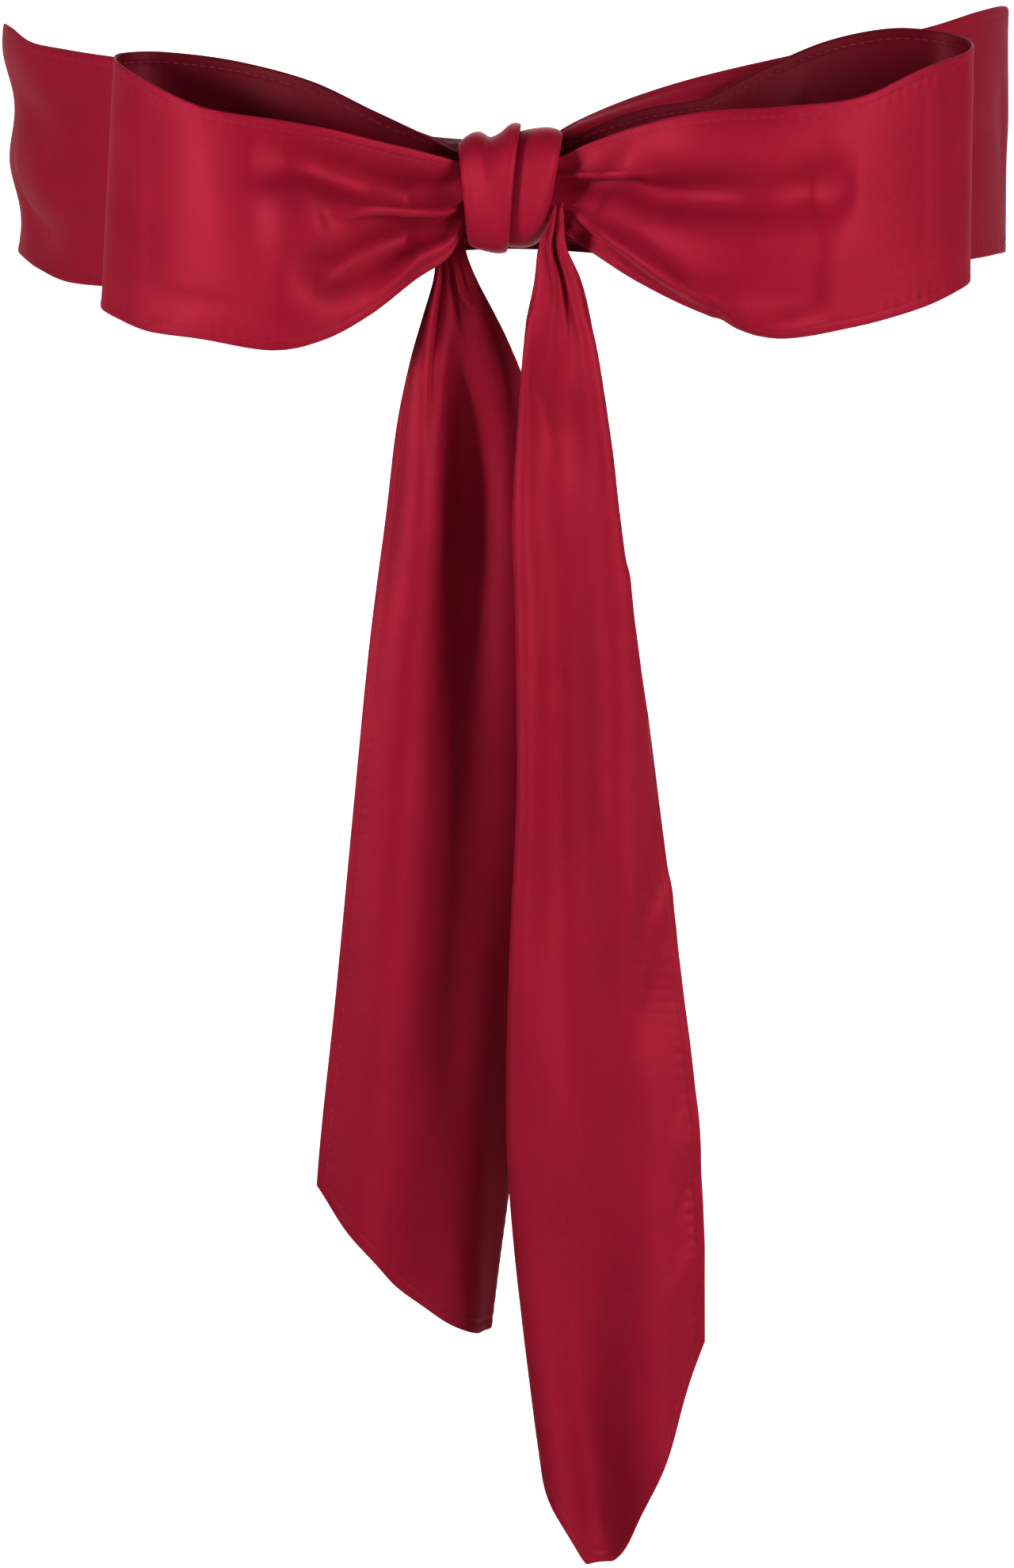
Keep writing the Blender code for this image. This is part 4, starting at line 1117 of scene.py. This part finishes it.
class SASH_OT_knot(bpy.types.Operator):
    """Make the knot: the wrap and the gathered layers inside it"""

    bl_idname = "sash.knot"
    bl_label = "Knot"

    def execute(self, context):
        # Painted light: the knot's copy of the satin is lightened to 1.03.
        material = made_once("knot_cloth_lit", lambda: satin("knot_cloth_lit", 1.03))
        facing = (0.25, (0.0, -1.0, 0.0))
        stretch = wrap_stretch()
        dressed("knot_wrap", stretch, WRAP_CREASES, facing, material)
        core = gathered_core(material)
        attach(core, "root")
        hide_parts("knot_core")
        return {"FINISHED"}


def gathered_core(material):
    """The layers inside the knot, gathered into one bundle of small pleats."""
    low, high = (np.array(corner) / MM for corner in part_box("knot_core"))
    centre, half = (low + high) / 2.0, (high - low) / 2.0
    rows, steps = 40, 96
    side = np.linspace(-1.0, 1.0, rows)[:, None]
    turn = np.linspace(0.0, 2.0 * math.pi, steps, endpoint=False)[None, :]
    shrink = np.clip(1.0 - np.abs(side) ** 6, 0.0, 1.0) ** 0.4
    folds = 1.0 - 0.05 - 0.05 * np.cos(9.0 * turn + 0.8 * side + 0.4 * np.sin(3.0 * turn))
    radius = shrink * folds
    y = np.sign(np.cos(turn)) * np.abs(np.cos(turn)) ** 0.6 * radius * half[1]
    z = np.sign(np.sin(turn)) * np.abs(np.sin(turn)) ** 0.6 * radius * half[2]
    x = np.repeat(side * half[0], steps, axis=1)
    points = (np.stack((x, y, z), axis=2) + centre) * MM
    inner = points[1:-1]
    number = np.arange((rows - 2) * steps).reshape(rows - 2, steps)
    following = np.roll(number, -1, axis=1)
    walls = np.stack((number[:-1], following[:-1], following[1:], number[1:]), axis=2).reshape(-1, 4).tolist()
    ends = (tuple(number[0][::-1].tolist()), tuple(number[-1].tolist()))
    mesh = bpy.data.meshes.new("knot_layers")
    mesh.from_pydata(inner.reshape(-1, 3).tolist(), [], walls + list(ends))
    mesh.shade_smooth()
    layer = mesh.uv_layers.new(name="cloth")
    flat = np.stack(np.broadcast_arrays(side[1:-1] * 0.08, turn * 0.1), axis=2).reshape(-1, 2)
    loop_verts = np.empty(len(mesh.loops), dtype=np.int32)
    mesh.loops.foreach_get("vertex_index", loop_verts)
    layer.data.foreach_set("uv", flat[loop_verts].astype(np.float32).ravel())
    mesh.materials.append(material)
    core = bpy.data.objects.new("knot_layers", mesh)
    bpy.context.scene.collection.objects.link(core)
    return core


class SASH_OT_stage(bpy.types.Operator):
    """Make the pale floor and backdrop, the soft lights and the camera"""

    bl_idname = "sash.stage"
    bl_label = "Stage"

    def execute(self, context):
        scene = context.scene
        backdrop()
        soft_light("right_light", (1.744, -1.571, 0.399), 1.0, 38.0, (0.0, 0.0, -0.12))
        soft_light("left_light", (-1.95, -1.3, 0.3), 1.0, 11.0, (0.0, 0.0, -0.12))
        soft_light("left_gridded", (-1.85, -1.445, 0.3), 0.6, 0.75, (-0.15, -0.13, 0.06), 18.0)
        soft_light("back_light", (0.3, 2.2, 1.0), 1.6, 8.0, (0.0, 0.0, -0.12))
        scene.world = studio_world()
        scene.view_settings.view_transform = "Standard"
        lens = bpy.data.cameras.new("camera")
        lens.sensor_fit = "VERTICAL"
        lens.sensor_height = 36.0
        lens.lens = 162.0
        camera = bpy.data.objects.new("camera", lens)
        camera.location = (0.0, -2.342, 0.088)
        camera.rotation_euler = (math.radians(90.0 - 7.3), 0.0, 0.0)
        scene.collection.objects.link(camera)
        scene.camera = camera
        return {"FINISHED"}


def soft_light(name, place, size, power, target, spread=180.0):
    """A square softbox that faces a target; a smaller spread is a grid in front of it."""
    lamp = bpy.data.lights.new(name, "AREA")
    lamp.size = size
    lamp.energy = power
    lamp.color = (1.0, 0.99, 0.98)
    lamp.spread = math.radians(spread)
    light = bpy.data.objects.new(name, lamp)
    light.location = place
    aim = Vector(target) - light.location
    light.rotation_euler = aim.to_track_quat("-Z", "Y").to_euler()
    bpy.context.scene.collection.objects.link(light)


def studio_world():
    """A pale band round the horizon, darker above and below it."""
    world = bpy.data.worlds.new("studio")
    world.use_nodes = True
    nodes, links = world.node_tree.nodes, world.node_tree.links
    background = nodes["Background"]
    background.inputs["Color"].default_value = (0.97, 0.96, 1.0, 1.0)
    place = nodes.new("ShaderNodeTexCoord")
    height = nodes.new("ShaderNodeSeparateXYZ")
    links.new(place.outputs["Generated"], height.inputs["Vector"])
    away = nodes.new("ShaderNodeMath")
    away.operation = "ABSOLUTE"
    links.new(height.outputs["Z"], away.inputs[0])
    fall = nodes.new("ShaderNodeMapRange")
    fall.interpolation_type = "SMOOTHSTEP"
    fall.inputs["From Min"].default_value = 0.04
    fall.inputs["From Max"].default_value = 0.22
    fall.inputs["To Min"].default_value = 0.45
    fall.inputs["To Max"].default_value = 0.06
    links.new(away.outputs[0], fall.inputs["Value"])
    links.new(fall.outputs["Result"], background.inputs["Strength"])
    return world


def backdrop():
    """A pale floor that curves up into a wall far behind. It glows with painted light: faint near the front,
    brighter far behind, and fading towards the sides.
    """
    finish = bpy.context.scene.sash_finish
    floor_z, wall_y, bend, reach = -1.0, 3.2, 1.2, 9.0
    profile = [(-reach, floor_z), (wall_y - bend, floor_z)]
    for step in range(1, 25):
        turn = math.radians(90.0 * step / 24.0)
        profile.append((wall_y - bend + bend * math.sin(turn), floor_z + bend - bend * math.cos(turn)))
    profile.append((wall_y, floor_z + reach))
    verts = [(x, y, z) for y, z in profile for x in (-reach, reach)]
    faces = [(2 * n, 2 * n + 1, 2 * n + 3, 2 * n + 2) for n in range(len(profile) - 1)]
    mesh = bpy.data.meshes.new("floor")
    mesh.from_pydata(verts, [], faces)
    mesh.shade_smooth()
    material = bpy.data.materials.new("pale_floor")
    material.use_nodes = True
    nodes, links = material.node_tree.nodes, material.node_tree.links
    shader = nodes["Principled BSDF"]
    shader.inputs["Base Color"].default_value = (*finish.backdrop, 1.0)
    shader.inputs["Roughness"].default_value = 0.9
    # Painted light: the floor's glow rises with distance behind the sash and falls off to the sides.
    shader.inputs["Emission Color"].default_value = (1.0, 1.0, 1.0, 1.0)
    place = nodes.new("ShaderNodeTexCoord")
    depth = nodes.new("ShaderNodeSeparateXYZ")
    links.new(place.outputs["Object"], depth.inputs["Vector"])
    glow = nodes.new("ShaderNodeMapRange")
    glow.interpolation_type = "SMOOTHSTEP"
    glow.inputs["From Min"].default_value = 0.4
    glow.inputs["From Max"].default_value = 2.0
    glow.inputs["To Min"].default_value = 0.05
    glow.inputs["To Max"].default_value = 0.9
    links.new(depth.outputs["Y"], glow.inputs["Value"])
    aside = nodes.new("ShaderNodeMath")
    aside.operation = "ABSOLUTE"
    links.new(depth.outputs["X"], aside.inputs[0])
    middle = nodes.new("ShaderNodeMapRange")
    middle.interpolation_type = "SMOOTHSTEP"
    middle.inputs["From Min"].default_value = 0.5
    middle.inputs["From Max"].default_value = 1.3
    middle.inputs["To Min"].default_value = 1.0
    middle.inputs["To Max"].default_value = 0.08
    links.new(aside.outputs[0], middle.inputs["Value"])
    both = nodes.new("ShaderNodeMath")
    both.operation = "MULTIPLY"
    links.new(glow.outputs["Result"], both.inputs[0])
    links.new(middle.outputs["Result"], both.inputs[1])
    links.new(both.outputs[0], shader.inputs["Emission Strength"])
    mesh.materials.append(material)
    floor = bpy.data.objects.new("floor", mesh)
    bpy.context.scene.collection.objects.link(floor)


class SASH_PT_panel(bpy.types.Panel):
    """Sizes, colours and steps of the sash"""

    bl_label = "Satin Sash"
    bl_idname = "SASH_PT_panel"
    bl_space_type = "VIEW_3D"
    bl_region_type = "UI"
    bl_category = "Sash"

    def draw(self, context):
        for title, group in (
            ("Cloth", context.scene.sash_cloth),
            ("Sewing", context.scene.sash_sewing),
            ("Finish", context.scene.sash_finish),
        ):
            box = self.layout.box()
            box.label(text=title)
            for name in group.__annotations__:
                box.prop(group, name)
        for step in OPERATORS:
            self.layout.operator(step.bl_idname)


GROUPS = {"sash_cloth": SashCloth, "sash_sewing": SashSewing, "sash_finish": SashFinish}
OPERATORS = (SASH_OT_waistband, SASH_OT_loops, SASH_OT_tails, SASH_OT_knot, SASH_OT_stage)


def register():
    for name, group in GROUPS.items():
        bpy.utils.register_class(group)
        setattr(bpy.types.Scene, name, bpy.props.PointerProperty(type=group))
    for item in (*OPERATORS, SASH_PT_panel):
        bpy.utils.register_class(item)


def unregister():
    for item in (SASH_PT_panel, *reversed(OPERATORS)):
        bpy.utils.unregister_class(item)
    for name, group in GROUPS.items():
        delattr(bpy.types.Scene, name)
        bpy.utils.unregister_class(group)


def main():
    register()
    bpy.ops.sash.waistband()
    bpy.ops.sash.loops()
    bpy.ops.sash.tails()
    bpy.ops.sash.knot()
    bpy.ops.sash.stage()


if __name__ == "__main__":
    main()
